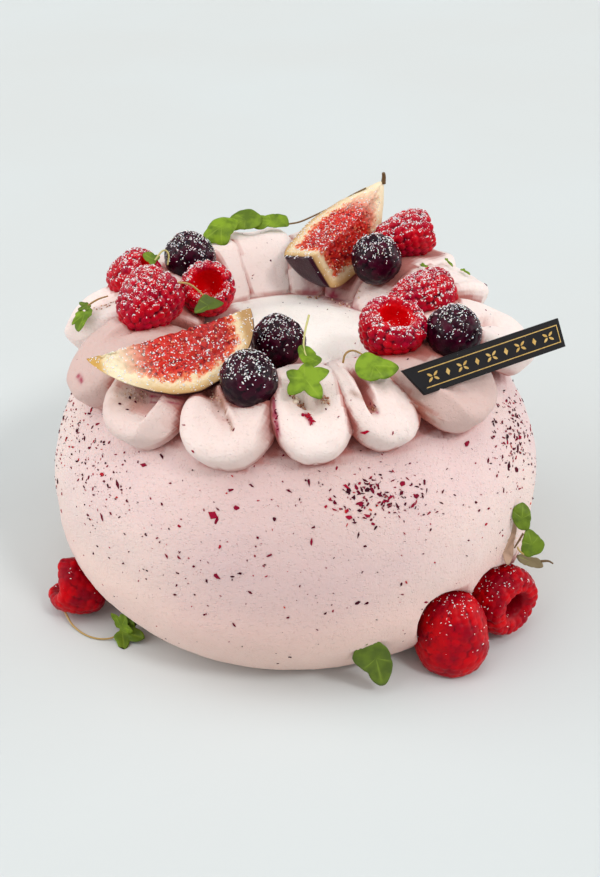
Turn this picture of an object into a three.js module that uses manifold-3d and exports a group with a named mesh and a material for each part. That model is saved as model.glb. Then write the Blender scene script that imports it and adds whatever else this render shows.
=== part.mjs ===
// A domed cream cake dressed with fruit, resting on its flat underside.
//
// Millimetres, +Z up, origin at the centre of the underside; the front faces -Y and the right side +X.
// The dome is one solid. A ring of piped cream petals lies round its crown, each with its nose over the
// shoulder and its tail towards the middle. Raspberries, dark berries, two fig wedges and a name plaque
// sit among the petals, and three more raspberries stand against the foot.

import * as THREE from "three";
import { mergeVertices } from "three/addons/utils/BufferGeometryUtils.js";
import Module from "manifold-3d";

const wasm = await Module();
wasm.setup();

// Between pieces that touch
const GAP = 0.25;

// Dome: a superellipse shoulder over a quarter-round that draws in to the foot
const DOME_RADIUS = 82;
const DOME_HEIGHT = 86;
const SHOULDER = { reach: 45.6, height: 47.5, power: 2.2, steps: 7 };
const FOOT = { radius: 65.8, height: 30, fillet: 3, steps: 4 };
const DOME_SEGMENTS = 36;

// Piped petals, in the order they are piped: each lies over the edge of the one before.
// azimuth, nose and height place the tip of the nose, turn swings the tail round from the radial line,
// rise lifts the bend of the petal, and tail moves the start of the tail.
const PETAL = {
  tail: { radius: 32, height: 88.5, width: 8, thickness: 7 },
  bend: { along: 0.55, height: 100.5 },
  thickness: 17,
  groove: { depth: 5, end: 0.85 },
  fullWidth: 0.55,
  noseLength: 0.32,
  stations: 7,
  points: 8,
};
const PETALS = [
  { azimuth: -160, nose: 74, height: 76, width: 29, turn: 4 },
  { azimuth: -134.5, nose: 74, height: 76, width: 28, turn: 4, rise: -2.5 },
  { azimuth: -108.5, nose: 73, height: 76, width: 29.5, turn: 4, rise: -3, tail: 27 },
  { azimuth: -85, nose: 70, height: 79, width: 24, turn: 2, tail: 27 },
  { azimuth: -64.5, nose: 70, height: 80.5, width: 24.5, turn: 0, tail: 27 },
  { azimuth: -37, nose: 72.5, height: 77, width: 34, turn: 12, rise: -1.5, tail: 29 },
  { azimuth: -3, nose: 75.5, height: 79, width: 29, turn: 4 },
  { azimuth: 26, nose: 70.5, height: 86, width: 25, turn: 4 },
  { azimuth: 45, nose: 74, height: 88, width: 26, turn: 2 },
  { azimuth: 65, nose: 75, height: 86, width: 26, turn: 0 },
  { azimuth: 84, nose: 76, height: 86, width: 25, turn: 0 },
  { azimuth: 104, nose: 76, height: 87, width: 27, turn: 0 },
  { azimuth: 124, nose: 75, height: 86, width: 25, turn: 0 },
  { azimuth: 146, nose: 76, height: 83, width: 26, turn: 2 },
  { azimuth: 171, nose: 77, height: 80, width: 28, turn: 4 },
];

// Raspberries: at is the middle of the fruit; tilt and towards aim its open end, from upright and by
// azimuth; a notch drops the two flanks of the rim. Those at the foot were pushed into the cream
// along DENT.
const DRUPELETS = { round: 8, rows: 6, relief: 0.8 };
const RASPBERRIES = [
  { name: "left_back", at: [-55.8, 23, 98.6], diameter: 17.5, length: 17, tilt: 60, towards: -20 },
  { name: "left_front", at: [-47.8, -5, 101.4], diameter: 20.8, length: 20, tilt: 67, towards: 54 },
  { name: "left_inner", at: [-29.2, 13.3, 97.4], diameter: 18.6, length: 16, tilt: 48, towards: -85 },
  { name: "right_back", at: [37.4, 43.3, 105.3], diameter: 17.2, length: 20.5, tilt: 75, towards: 10 },
  { name: "right_middle", at: [41, 8.5, 97.8], diameter: 18, length: 21.5, tilt: 80, towards: 20 },
  { name: "right_front", at: [29.2, -23.4, 99.8], diameter: 21.2, length: 16.5, tilt: 20, towards: -55 },
  { name: "foot_left", at: [-72.8, -32.5, 9], diameter: 18.8, length: 19, tilt: 69, towards: 165, notch: 0.25 },
  { name: "foot_right_front", at: [49.7, -60, 14.2], diameter: 23.4, length: 26.8, tilt: 176, towards: 60 },
  { name: "foot_right_back", at: [65.6, -40.2, 12.7], diameter: 24, length: 21.5, tilt: 90, towards: -50 },
];

const DENT = { from: -72, steps: [0, 3, 6.5] }; // the azimuth a foot raspberry came in from, and how far

const DARK_BERRIES = [
  { name: "left_back", at: [-36.3, 33, 101.6], diameter: 18 },
  { name: "middle", at: [-5.3, -23.4, 97], diameter: 17.3 },
  { name: "front", at: [-13.5, -52.8, 99], diameter: 17.2 },
  { name: "right_back", at: [27.6, 28, 103], diameter: 17.3 },
  { name: "right_front", at: [48.8, -24, 100.4], diameter: 17.4 },
];

// Fig wedges: a quarter of a fig cut lengthwise. stem and coreEnd are the ends of the core edge, and
// skin is the way its rounded back faces.
const FIG = { stations: 8, arcs: 4, opening: 88, belly: 1.25, blunt: 0.6 };
const FIG_WEDGES = [
  { name: "left", stem: [-62.2, -41.5, 100], coreEnd: [-13.4, -34.8, 113.4], skin: [0, 0, -1], radius: 19.5 },
  { name: "back", stem: [30.8, 58.5, 120], coreEnd: [5.2, 26.5, 104], skin: [-0.2, 0.35, -1], radius: 19 },
];

// The plaque leans back on the petals: start and end are the ends of its lower edge.
const PLAQUE = {
  width: 9,
  thickness: 1.4,
  start: [33.3, -53.8, 92.6],
  end: [82.6, -28, 97.4],
  lean: [0, 0.5, 0.86],
  slant: 5,
};

const CREAM = { color: 0xf0d8d2, roughness: 0.7, metalness: 0 };
const PIPED_CREAM = { color: 0xf6e4dd, roughness: 0.65, metalness: 0 };
const RASPBERRY_RED = { color: 0xb5121f, roughness: 0.4, metalness: 0 };
const DARK_FRUIT = { color: 0x2b0d14, roughness: 0.35, metalness: 0 };
const FIG_FLESH = { color: 0xc8543c, roughness: 0.5, metalness: 0 };
const CHARCOAL_CARD = { color: 0x383335, roughness: 0.45, metalness: 0 };

const degrees = THREE.MathUtils.degToRad;
const vector = (list) => new THREE.Vector3(...list);
const mix = THREE.MathUtils.lerp;

/** The unit vector tilted from upright towards an azimuth, both in degrees. */
function aim(tilt, towards) {
  const flat = Math.sin(degrees(tilt));
  return new THREE.Vector3(
    flat * Math.cos(degrees(towards)),
    flat * Math.sin(degrees(towards)),
    Math.cos(degrees(tilt)),
  );
}

/** Two unit vectors square to an axis, the first as near to a hint as it can be. */
function squareTo(axis, hint) {
  const first = hint.clone().addScaledVector(axis, -hint.dot(axis)).normalize();
  return [first, axis.clone().cross(first)];
}

/** Closes a stack of equal rings into a solid, drawn to a point at each end. */
function loft(start, rings, end) {
  const points = [start, ...rings.flat(), end];
  const round = rings[0].length;
  const last = rings.length - 1;
  const at = (ring, k) => 1 + ring * round + (k % round);
  const faces = [];
  for (let k = 0; k < round; k++) {
    faces.push(0, at(0, k + 1), at(0, k));
    faces.push(points.length - 1, at(last, k), at(last, k + 1));
    for (let ring = 0; ring < last; ring++) {
      faces.push(at(ring, k), at(ring, k + 1), at(ring + 1, k + 1));
      faces.push(at(ring, k), at(ring + 1, k + 1), at(ring + 1, k));
    }
  }
  const geometry = new THREE.BufferGeometry().setFromPoints(points);
  geometry.setIndex(faces);
  return solidOf(geometry);
}

/** A three.js geometry as a solid that can be joined and cut. */
function solidOf(geometry) {
  const bare = geometry.clone();
  bare.deleteAttribute("normal");
  bare.deleteAttribute("uv");
  const merged = mergeVertices(bare, 1e-4);
  return new wasm.Manifold(
    new wasm.Mesh({
      numProp: 3,
      vertProperties: merged.attributes.position.array,
      triVerts: new Uint32Array(merged.index.array),
    }),
  );
}

/** A named mesh from a solid; a cut that left crumbs keeps only the largest body. */
function meshOf(name, solid, finish) {
  const bodies = solid.decompose().sort((a, b) => b.volume() - a.volume());
  const mesh = bodies[0].getMesh();
  const geometry = new THREE.BufferGeometry();
  geometry.setAttribute("position", new THREE.BufferAttribute(mesh.vertProperties, 3));
  geometry.setIndex(new THREE.BufferAttribute(mesh.triVerts, 1));
  geometry.computeVertexNormals();
  const made = new THREE.Mesh(geometry, new THREE.MeshStandardMaterial(finish));
  made.name = name;
  return made;
}

/** Half the outline of the dome as [radius, height], from the underside up to the crown. */
function domeOutline() {
  const outline = [
    [FOOT.radius - FOOT.fillet, 0],
    [FOOT.radius + 0.3 * FOOT.fillet, FOOT.fillet / 2],
  ];
  for (let i = 1; i <= FOOT.steps; i++) {
    const height = (FOOT.height * i) / FOOT.steps;
    const quarter = Math.sin((Math.PI / 2) * (height / FOOT.height));
    outline.push([FOOT.radius + (DOME_RADIUS - FOOT.radius) * quarter, height]);
  }
  const level = DOME_HEIGHT - SHOULDER.height;
  for (let i = 0; i < SHOULDER.steps; i++) {
    const turn = (Math.PI / 2) * (i / SHOULDER.steps);
    const out = Math.cos(turn) ** (2 / SHOULDER.power);
    const up = Math.sin(turn) ** (2 / SHOULDER.power);
    outline.push([DOME_RADIUS - SHOULDER.reach * (1 - out), level + SHOULDER.height * up]);
  }
  return outline;
}

/** The dome, swollen all over by grow. */
function dome(grow = 0) {
  const rings = domeOutline().map(([radius, height]) =>
    Array.from({ length: DOME_SEGMENTS }, (_, k) => {
      const turn = (2 * Math.PI * k) / DOME_SEGMENTS;
      const swell = height === 0 ? -grow : (grow * height) / DOME_HEIGHT;
      return new THREE.Vector3(
        (radius + grow) * Math.cos(turn),
        (radius + grow) * Math.sin(turn),
        height + swell,
      );
    }),
  );
  const top = DOME_HEIGHT + grow;
  return loft(new THREE.Vector3(0, 0, -grow), rings, new THREE.Vector3(0, 0, top));
}

/** One piped petal: a tongue of cream grooved along its top, swollen all over by grow. */
function petal({ azimuth, nose, height, width, turn, rise = 0, tail = PETAL.tail.radius }, grow = 0) {
  const { bend, groove, points, stations } = PETAL;
  const tip = aim(90, azimuth).multiplyScalar(nose).setZ(height);
  const root = aim(90, azimuth - turn).multiplyScalar(tail).setZ(PETAL.tail.height);
  const over = root.clone().lerp(tip, bend.along).setZ(bend.height + rise);
  const spine = new THREE.QuadraticBezierCurve3(root, over, tip);
  const rings = [];
  for (let i = 0; i < stations; i++) {
    const along = 1 - (1 - (i + 0.5) / stations) ** 1.6;
    const [up, across] = squareTo(spine.getTangent(along), new THREE.Vector3(0, 0, 1));
    const spread = THREE.MathUtils.smoothstep(along, 0, PETAL.fullWidth);
    const closing = Math.max(0, 1 - (1 - along) / PETAL.noseLength);
    const round = Math.sqrt(1 - closing ** 2);
    const half = (mix(PETAL.tail.width, width, spread) / 2) * round + grow;
    const thick = (mix(PETAL.tail.thickness, PETAL.thickness, spread) / 2) * round + grow;
    const dip = groove.depth * Math.sin(Math.PI * Math.min(1, along / groove.end));
    rings.push(
      Array.from({ length: points }, (_, k) => {
        const angle = (2 * Math.PI * k) / points - Math.PI / 2;
        return spine
          .getPoint(along)
          .addScaledVector(across, -half * Math.cos(angle))
          .addScaledVector(up, thick * Math.sin(angle) - (k === points / 2 ? dip : 0));
      }),
    );
  }
  return loft(root, rings, tip);
}

/** Half the outline of a raspberry as [radius, along, bump, rim], from its tip, over the rim and in. */
function raspberryOutline(diameter, length) {
  const outline = [];
  for (let row = 0; row < DRUPELETS.rows; row++) {
    const turn = (Math.PI / 2) * ((row + 0.6) / (DRUPELETS.rows - 0.2));
    const along = (1 - Math.cos(turn)) * 0.84;
    outline.push({ radius: (diameter / 2) * Math.sin(turn) ** 0.75, along: along * length, bump: 1, rim: along });
  }
  outline.push({ radius: diameter * 0.4, along: length, bump: 0.5, rim: 1 });
  outline.push({ radius: diameter * 0.22, along: length * 0.94, bump: 0, rim: 1 });
  outline.push({ radius: diameter * 0.15, along: length * 0.62, bump: 0, rim: 0.7 });
  return outline;
}

/** One raspberry with its hollow, or the plain socket it presses into the cream when grow is given. */
function raspberry({ at, diameter, length, tilt, towards, notch = 0 }, grow = 0) {
  const axis = aim(tilt, towards);
  const [side, over] = squareTo(axis, aim(tilt + 90, towards));
  const tip = vector(at).addScaledVector(axis, -length / 2);
  const segments = DRUPELETS.round * 2;
  const outline = raspberryOutline(diameter, length).slice(0, grow ? -2 : undefined);
  const rings = outline.map(({ radius, along, bump, rim }, row) =>
    Array.from({ length: segments }, (_, k) => {
      const turn = (2 * Math.PI * k) / segments;
      const relief = (bump * DRUPELETS.relief * (-1) ** (k + row)) / 2;
      const reach = radius + (grow ? DRUPELETS.relief / 2 + grow : relief);
      const drop = notch * length * rim ** 3 * Math.sin(turn) ** 2;
      return tip
        .clone()
        .addScaledVector(side, reach * Math.cos(turn))
        .addScaledVector(over, reach * Math.sin(turn))
        .addScaledVector(axis, along - drop);
    }),
  );
  const inner = tip.clone().addScaledVector(axis, grow ? length + grow : length * 0.5);
  return loft(tip.addScaledVector(axis, -grow), rings, inner);
}

/** One dark berry, swollen all over by grow. */
function darkBerry({ at, diameter }, grow = 0) {
  const ball = new THREE.SphereGeometry(diameter / 2 + grow, 12, 8);
  ball.rotateX(Math.PI / 2);
  ball.translate(...at);
  return solidOf(ball);
}

/** One fig wedge, swollen all over by grow. */
function figWedge({ stem, coreEnd, skin, radius }, grow = 0) {
  const start = vector(stem);
  const axis = vector(coreEnd).sub(start);
  const length = axis.length();
  axis.normalize();
  const [back, side] = squareTo(axis, vector(skin));
  const rings = [];
  for (let i = 0; i < FIG.stations; i++) {
    const along = (i + 0.5) / FIG.stations;
    const belly = Math.sin(Math.PI * along ** FIG.belly) ** FIG.blunt;
    const ring = [start.clone().addScaledVector(axis, along * length).addScaledVector(back, -grow)];
    for (let k = 0; k <= FIG.arcs; k++) {
      const angle = degrees(FIG.opening * (k / FIG.arcs - 0.5));
      ring.push(
        start
          .clone()
          .addScaledVector(axis, along * length)
          .addScaledVector(back, (radius * belly + grow) * Math.cos(angle))
          .addScaledVector(side, (radius * belly + grow) * Math.sin(angle)),
      );
    }
    rings.push(ring);
  }
  const tip = start.clone().addScaledVector(axis, -grow);
  const end = start.clone().addScaledVector(axis, length + grow);
  return loft(tip, rings, end);
}

/** The name plaque, a thin card with one end cut at a slant, swollen all over by grow. */
function plaque(grow = 0) {
  const start = vector(PLAQUE.start);
  const run = vector(PLAQUE.end).sub(start);
  const along = run.clone().normalize();
  const [up, face] = squareTo(along, vector(PLAQUE.lean));
  const outline = new THREE.Shape();
  outline.moveTo(PLAQUE.slant - grow, -grow);
  outline.lineTo(run.length() + grow, -grow);
  outline.lineTo(run.length() + grow, PLAQUE.width + grow);
  outline.lineTo(-grow, PLAQUE.width + grow);
  const card = new THREE.ExtrudeGeometry(outline, {
    depth: PLAQUE.thickness + 2 * grow,
    bevelEnabled: false,
  });
  card.translate(0, 0, -grow - PLAQUE.thickness / 2);
  card.applyMatrix4(new THREE.Matrix4().makeBasis(along, up, face).setPosition(start));
  return solidOf(card);
}

/** The sockets that together make the dent of a raspberry at the foot, open on the side it came from. */
function footDent(fruit) {
  return DENT.steps.map((step) => {
    const at = vector(fruit.at).addScaledVector(aim(90, DENT.from), step).toArray();
    return raspberry({ ...fruit, at }, GAP);
  });
}

const isAtFoot = ({ at }) => at[2] < DOME_HEIGHT / 2;
const sockets = [
  ...RASPBERRIES.flatMap((fruit) => (isAtFoot(fruit) ? footDent(fruit) : [raspberry(fruit, GAP)])),
  ...DARK_BERRIES.map((fruit) => darkBerry(fruit, GAP)),
  ...FIG_WEDGES.map((fruit) => figWedge(fruit, GAP)),
  plaque(GAP),
];
const pressIn = (cream) => sockets.reduce((left, socket) => left.subtract(socket), cream);

const cake = new THREE.Group();
cake.name = "fig_cake";
cake.add(meshOf("cake_dome", pressIn(dome()), CREAM));
PETALS.forEach((one, i) => {
  const next = petal(PETALS[(i + 1) % PETALS.length], GAP);
  const laid = pressIn(petal(one).subtract(dome(GAP)).subtract(next));
  cake.add(meshOf(`cream_petal_${String(i + 1).padStart(2, "0")}`, laid, PIPED_CREAM));
});
RASPBERRIES.forEach((fruit) => cake.add(meshOf(`raspberry_${fruit.name}`, raspberry(fruit), RASPBERRY_RED)));
DARK_BERRIES.forEach((fruit) => cake.add(meshOf(`dark_berry_${fruit.name}`, darkBerry(fruit), DARK_FRUIT)));
FIG_WEDGES.forEach((fruit) => cake.add(meshOf(`fig_wedge_${fruit.name}`, figWedge(fruit), FIG_FLESH)));
cake.add(meshOf("plaque", plaque(), CHARCOAL_CARD));

export default cake;
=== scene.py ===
"""A domed cream cake with piped petals, figs, berries and leaves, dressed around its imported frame.

Sizes are worked out in millimetres and turned into metres where a mesh is made. The front of the cake
faces -Y, +X is its right and +Z is up. Along a petal, 0 is its tail and 1 the tip of its nose; across
it, -1 is its left edge and 1 its right edge, seen from outside the cake.
"""

from __future__ import annotations

import logging
import math
from dataclasses import dataclass, field
from enum import Enum
from functools import cached_property
from typing import Iterable, Sequence

import bmesh
import bpy
import numpy as np
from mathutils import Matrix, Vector
from mathutils.bvhtree import BVHTree


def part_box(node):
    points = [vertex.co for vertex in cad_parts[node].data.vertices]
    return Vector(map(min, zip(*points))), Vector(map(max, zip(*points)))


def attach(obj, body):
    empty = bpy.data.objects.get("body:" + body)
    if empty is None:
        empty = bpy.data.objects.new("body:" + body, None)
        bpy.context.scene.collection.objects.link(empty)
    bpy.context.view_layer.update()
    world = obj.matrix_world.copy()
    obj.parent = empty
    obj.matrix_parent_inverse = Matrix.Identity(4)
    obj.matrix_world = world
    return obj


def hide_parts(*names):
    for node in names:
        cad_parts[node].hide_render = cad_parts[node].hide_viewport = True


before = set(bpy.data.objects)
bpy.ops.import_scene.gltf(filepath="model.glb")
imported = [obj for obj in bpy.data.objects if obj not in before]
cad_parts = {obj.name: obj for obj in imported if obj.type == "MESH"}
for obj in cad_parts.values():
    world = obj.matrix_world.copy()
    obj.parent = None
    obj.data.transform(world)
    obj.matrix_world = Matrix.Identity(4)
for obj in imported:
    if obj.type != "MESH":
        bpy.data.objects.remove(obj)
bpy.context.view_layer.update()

LOG = logging.getLogger("fig_cake")
MM = 0.001
BODY = "root"

Array = np.ndarray
Masks = dict[str, Array]
Colour = tuple[float, float, float]
Place = tuple[float, float, float]
Draw = np.random.Generator
Material = bpy.types.Material
Piece = bpy.types.Object
Socket = bpy.types.NodeSocket

UP = np.array([0.0, 0.0, 1.0])
DOWN = np.array([0.0, 0.0, -1.0])
LEVEL = np.array([1.0, 1.0, 0.0])

# Millimetres: the height of the cake's middle, and how far off the rays that look for it start.
CAKE_MIDDLE = 45.0
PROBE = 20.0
BEYOND = 150.0
OVERHEAD = 160.0


# Numbers and directions -----------------------------------


def aim(tilt: float, towards: float) -> Array:
    """Return the unit vector tilted from upright towards an azimuth.

    Args:
        tilt: Degrees from straight up.
        towards: Azimuth in degrees, from +X towards +Y.

    Returns:
        A unit vector.
    """
    flat = math.sin(math.radians(tilt))
    turn = math.radians(towards)
    return np.array([flat * math.cos(turn), flat * math.sin(turn), math.cos(math.radians(tilt))])


def unit(vectors: Array) -> Array:
    """Return the vectors, each scaled to length one."""
    return vectors / np.maximum(np.linalg.norm(vectors, axis=-1, keepdims=True), 1e-12)


def even_turns(count: int) -> Array:
    """Return as many angles as asked, evenly round a full turn from 0."""
    return 2.0 * math.pi * np.arange(count) / count


def level_ways(count: int) -> Array:
    """Return as many level unit vectors as asked, evenly all round."""
    turn = even_turns(count)
    return np.stack([np.cos(turn), np.sin(turn), np.zeros_like(turn)], axis=1)


def square_to(axis: Array, hint: Array) -> tuple[Array, Array]:
    """Return two unit vectors square to each axis.

    Args:
        axis: Unit vectors, one or many.
        hint: The direction that the first result keeps as near to as it can.

    Returns:
        The vector nearest the hint, and the axis crossed with it.
    """
    first = unit(hint - axis * np.sum(axis * hint, axis=-1, keepdims=True))
    return first, np.cross(axis, first)


def line_axes(start: Place, end: Place, hint: Place) -> tuple[Array, Array, Array, Array, float]:
    """Return the axes of something that lies along a line.

    Args:
        start: Where the line starts.
        end: Where it ends.
        hint: The direction that the second axis keeps as near to as it can.

    Returns:
        The start, the way along, the two ways square to it, and the length.
    """
    first = np.array(start)
    run = np.array(end) - first
    length = float(np.linalg.norm(run))
    return first, run / length, *square_to(run / length, np.array(hint)), length


def ease(value: Array, low: float, high: float) -> Array:
    """Return a smooth step from 0 at low to 1 at high."""
    share = np.clip((value - low) / (high - low), 0.0, 1.0)
    return share * share * (3.0 - 2.0 * share)


def rounded_line(points: Array, cuts: int, count: int) -> Array:
    """Round the corners of an open line and space its points evenly.

    Args:
        points: The corners, one row each; the first and last are kept.
        cuts: How many times each corner is cut.
        count: How many points come back.

    Returns:
        The rounded line as count rows.
    """
    for _ in range(cuts):
        near = 0.75 * points[:-1] + 0.25 * points[1:]
        far = 0.25 * points[:-1] + 0.75 * points[1:]
        middle = np.stack([near, far], axis=1).reshape(-1, points.shape[1])
        points = np.vstack([points[:1], middle, points[-1:]])
    steps = np.linalg.norm(np.diff(points, axis=0), axis=1)
    reach = np.concatenate([[0.0], np.cumsum(steps)])
    wanted = np.linspace(0.0, reach[-1], count)
    return np.stack([np.interp(wanted, reach, column) for column in points.T], axis=1)


class Ripples:
    """Smooth unevenness: a seeded sum of waves of about one length, mostly between -1 and 1."""

    def __init__(self, seed: int, wavelength: float, waves: int = 20) -> None:
        """Draw the waves.

        Args:
            seed: Seed of the draw.
            wavelength: Middle wavelength, in millimetres.
            waves: How many waves are summed.
        """
        rng = np.random.default_rng(seed)
        pitch = 2.0 * math.pi / wavelength * rng.uniform(0.6, 1.5, (waves, 1))
        self.pitch = unit(rng.normal(size=(waves, 3))) * pitch
        self.phase = rng.uniform(0.0, 2.0 * math.pi, waves)

    def __call__(self, points: Array) -> Array:
        """Return the height of the ripples at each point."""
        waves = np.sin(points @ self.pitch.T + self.phase)
        return waves.sum(axis=-1) / math.sqrt(2.0 * len(self.phase))


# Meshes ---------------------------------------------------


@dataclass
class Patch:
    """Part of a mesh: points in millimetres, faces, and masks with one value a point."""

    points: Array
    faces: list[tuple[int, ...]]
    masks: Masks = field(default_factory=dict)

    @staticmethod
    def joined(patches: Sequence[Patch]) -> Patch:
        """Join patches.

        Args:
            patches: The patches, all with the same masks.

        Returns:
            All of them as one.
        """
        faces: list[tuple[int, ...]] = []
        start = 0
        for patch in patches:
            faces += [tuple(start + index for index in face) for face in patch.faces]
            start += len(patch.points)
        names = patches[0].masks
        masks = {name: np.concatenate([patch.masks[name] for patch in patches]) for name in names}
        return Patch(np.vstack([patch.points for patch in patches]), faces, masks)


def rolled(
    rings: Array, masks: Masks | None = None, start: Array | None = None, end: Array | None = None
) -> Patch:
    """Close a stack of rings into a skin.

    Args:
        rings: Points as (ring, place in ring, xyz).
        masks: Values as (ring, place in ring).
        start: The point that closes the first ring; its middle when left out.
        end: The point that closes the last ring; its middle when left out.

    Returns:
        The closed skin.
    """
    count, around = rings.shape[:2]
    first = rings[0].mean(axis=0) if start is None else start
    last = rings[-1].mean(axis=0) if end is None else end
    points = np.vstack([rings.reshape(-1, 3), first, last])
    faces: list[tuple[int, ...]] = []
    for ring in range(count - 1):
        low, high = ring * around, (ring + 1) * around
        faces += [(low + k, low + (k + 1) % around, high + (k + 1) % around, high + k) for k in range(around)]
    pole, top = count * around, (count - 1) * around
    faces += [(pole, (k + 1) % around, k) for k in range(around)]
    faces += [(pole + 1, top + k, top + (k + 1) % around) for k in range(around)]
    flat = {
        name: np.concatenate([values.ravel(), [values[0].mean(), values[-1].mean()]])
        for name, values in (masks or {}).items()
    }
    return Patch(points, faces, flat)


def ring_normals(rings: Array) -> Array:
    """Return the outward unit normals of a stack of rings, as (ring, place in ring, xyz)."""
    around = np.roll(rings, -1, axis=1) - np.roll(rings, 1, axis=1)
    normals = unit(np.cross(around, np.gradient(rings, axis=0)))
    outward = np.sum(normals * (rings - rings.mean(axis=(0, 1))), axis=-1).sum()
    return normals if outward > 0 else -normals


def raised(rings: Array, height: Array) -> Array:
    """Return a skin with each point moved out along its normal by its height."""
    return rings + ring_normals(rings) * height[..., None]


def tube(line: Array, radius: Array, around: int = 8) -> Patch:
    """Return a round tube along a line.

    Args:
        line: Points along the middle.
        radius: One radius for each point.
        around: How many sides the tube has.

    Returns:
        The closed tube.
    """
    heading = unit(np.gradient(line, axis=0))
    first, second = square_to(heading, np.array([0.3, 0.2, 1.0]))
    turn = even_turns(around)
    spread = first[:, None] * np.cos(turn)[:, None] + second[:, None] * np.sin(turn)[:, None]
    return rolled(line[:, None] + radius[:, None, None] * spread)


def added(name: str, data: bpy.types.ID | None) -> Piece:
    """Return a new object in the scene that shows a mesh, a light or a camera."""
    made = bpy.data.objects.new(name, data)
    bpy.context.scene.collection.objects.link(made)
    return made


def make_piece(name: str, patch: Patch, material: Material, smooth: bool = True) -> Piece:
    """Make one visible piece that rides on the cake.

    Args:
        name: Name of the piece.
        patch: Its mesh, in millimetres.
        material: Its material.
        smooth: Whether its faces are shaded smooth.

    Returns:
        The new object.
    """
    mesh = bpy.data.meshes.new(name)
    mesh.from_pydata((patch.points * MM).tolist(), [], patch.faces)
    shell = bmesh.new()
    shell.from_mesh(mesh)
    bmesh.ops.recalc_face_normals(shell, faces=shell.faces)
    shell.to_mesh(mesh)
    shell.free()
    for mask, values in patch.masks.items():
        layer = mesh.attributes.new(mask, "FLOAT", "POINT")
        layer.data.foreach_set("value", values.astype(np.float32))
    mesh.polygons.foreach_set("use_smooth", [smooth] * len(mesh.polygons))
    mesh.materials.append(material)
    piece = added(name, mesh)
    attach(piece, BODY)
    LOG.info("%s: %d points, %d faces", name, len(mesh.vertices), len(mesh.polygons))
    return piece


def node_box(node: str) -> tuple[Array, Array]:
    """Return a CAD node's lowest and highest corners, in millimetres."""
    low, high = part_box(node)
    return np.array(low) / MM, np.array(high) / MM


def fitted(patch: Patch, node: str) -> Patch:
    """Move and stretch a patch so that it fills a CAD node's box.

    Args:
        patch: The patch to fit, close to its size already.
        node: The node whose box it fills.

    Returns:
        The fitted patch.
    """
    low, high = node_box(node)
    own_low, own_high = patch.points.min(axis=0), patch.points.max(axis=0)
    scale = (high - low) / (own_high - own_low)
    return Patch((patch.points - own_low) * scale + low, patch.faces, patch.masks)


class Landing:
    """Finished pieces and patches as one surface that flakes, sugar and leaves can land on."""

    def __init__(self, pieces: Iterable[Piece], patches: Iterable[Patch] = ()) -> None:
        """Gather the faces.

        Args:
            pieces: Finished pieces.
            patches: Patches that aren't pieces yet.
        """
        meshes = [piece.data for piece in pieces]
        skins = [
            ([vertex.co / MM for vertex in mesh.vertices], [face.vertices for face in mesh.polygons])
            for mesh in meshes
        ]
        skins += [([Vector(point) for point in patch.points], patch.faces) for patch in patches]
        points: list[Vector] = []
        faces: list[list[int]] = []
        for corners, sides in skins:
            faces += [[len(points) + index for index in side] for side in sides]
            points += corners
        self.tree = BVHTree.FromPolygons(points, faces)

    def hit(self, origin: Array, heading: Array) -> tuple[Array, Array] | None:
        """Return the first place that a ray meets, and the normal there, or None."""
        place, normal, _, _ = self.tree.ray_cast(Vector(origin), Vector(heading))
        return None if place is None else (np.array(place), np.array(normal))

    def crowding(self, rings: Array, reach: float = 8.0, rays: int = 14, skip: int = 2) -> Array:
        """Return how much of the way out of each point is closed off nearby.

        Args:
            rings: Points of a skin, as (ring, place in ring, xyz).
            reach: How far away another surface still counts, in millimetres.
            rays: How many ways out are tried at each point.
            skip: Only every such point is tried, and the others take the value beside them.

        Returns:
            The closed share at each point, from 0 to 1.
        """
        rng = np.random.default_rng(5)
        normals = ring_normals(rings)
        ways = unit(rng.normal(size=(rays, 3)))
        coarse = rings[::skip, ::skip]
        shares = np.zeros(coarse.shape[:2])
        for place in np.ndindex(shares.shape):
            normal = normals[place[0] * skip, place[1] * skip]
            start = Vector(coarse[place] + normal * 0.35)
            for way in ways:
                heading = Vector(unit(normal * 1.05 + way))
                shares[place] += self.tree.ray_cast(start, heading, reach)[0] is not None
        shares = shares / rays
        shares = (shares + np.roll(shares, 1, axis=1) + np.roll(shares, -1, axis=1)) / 3.0
        return np.repeat(np.repeat(shares, skip, axis=0), skip, axis=1)[: rings.shape[0], : rings.shape[1]]

    def cleared(self, points: Array, away: Array, most: float = 5.0, gap: float = 0.25) -> Array:
        """Lift points that lie under the surface.

        Args:
            points: The points, one row each.
            away: The unit vector they are lifted along.
            most: A point that would need more than this is left.
            gap: How far above the surface they end.

        Returns:
            The points, lifted.
        """
        lifted = points.copy()
        for index, point in enumerate(points):
            met = self.hit(point + away * most, -away)
            if met is not None:
                level = float((met[0] - point) @ away) + gap
                lifted[index] = point + away * float(np.clip(level, 0.0, most))
        return lifted


# Finishes -------------------------------------------------


def linear(red: int, green: int, blue: int) -> Colour:
    """Return an 8-bit screen colour as linear light."""

    def channel(value: int) -> float:
        """Return one channel as linear light."""
        share = value / 255.0
        return share / 12.92 if share <= 0.04045 else ((share + 0.055) / 1.055) ** 2.4

    return channel(red), channel(green), channel(blue)


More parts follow.
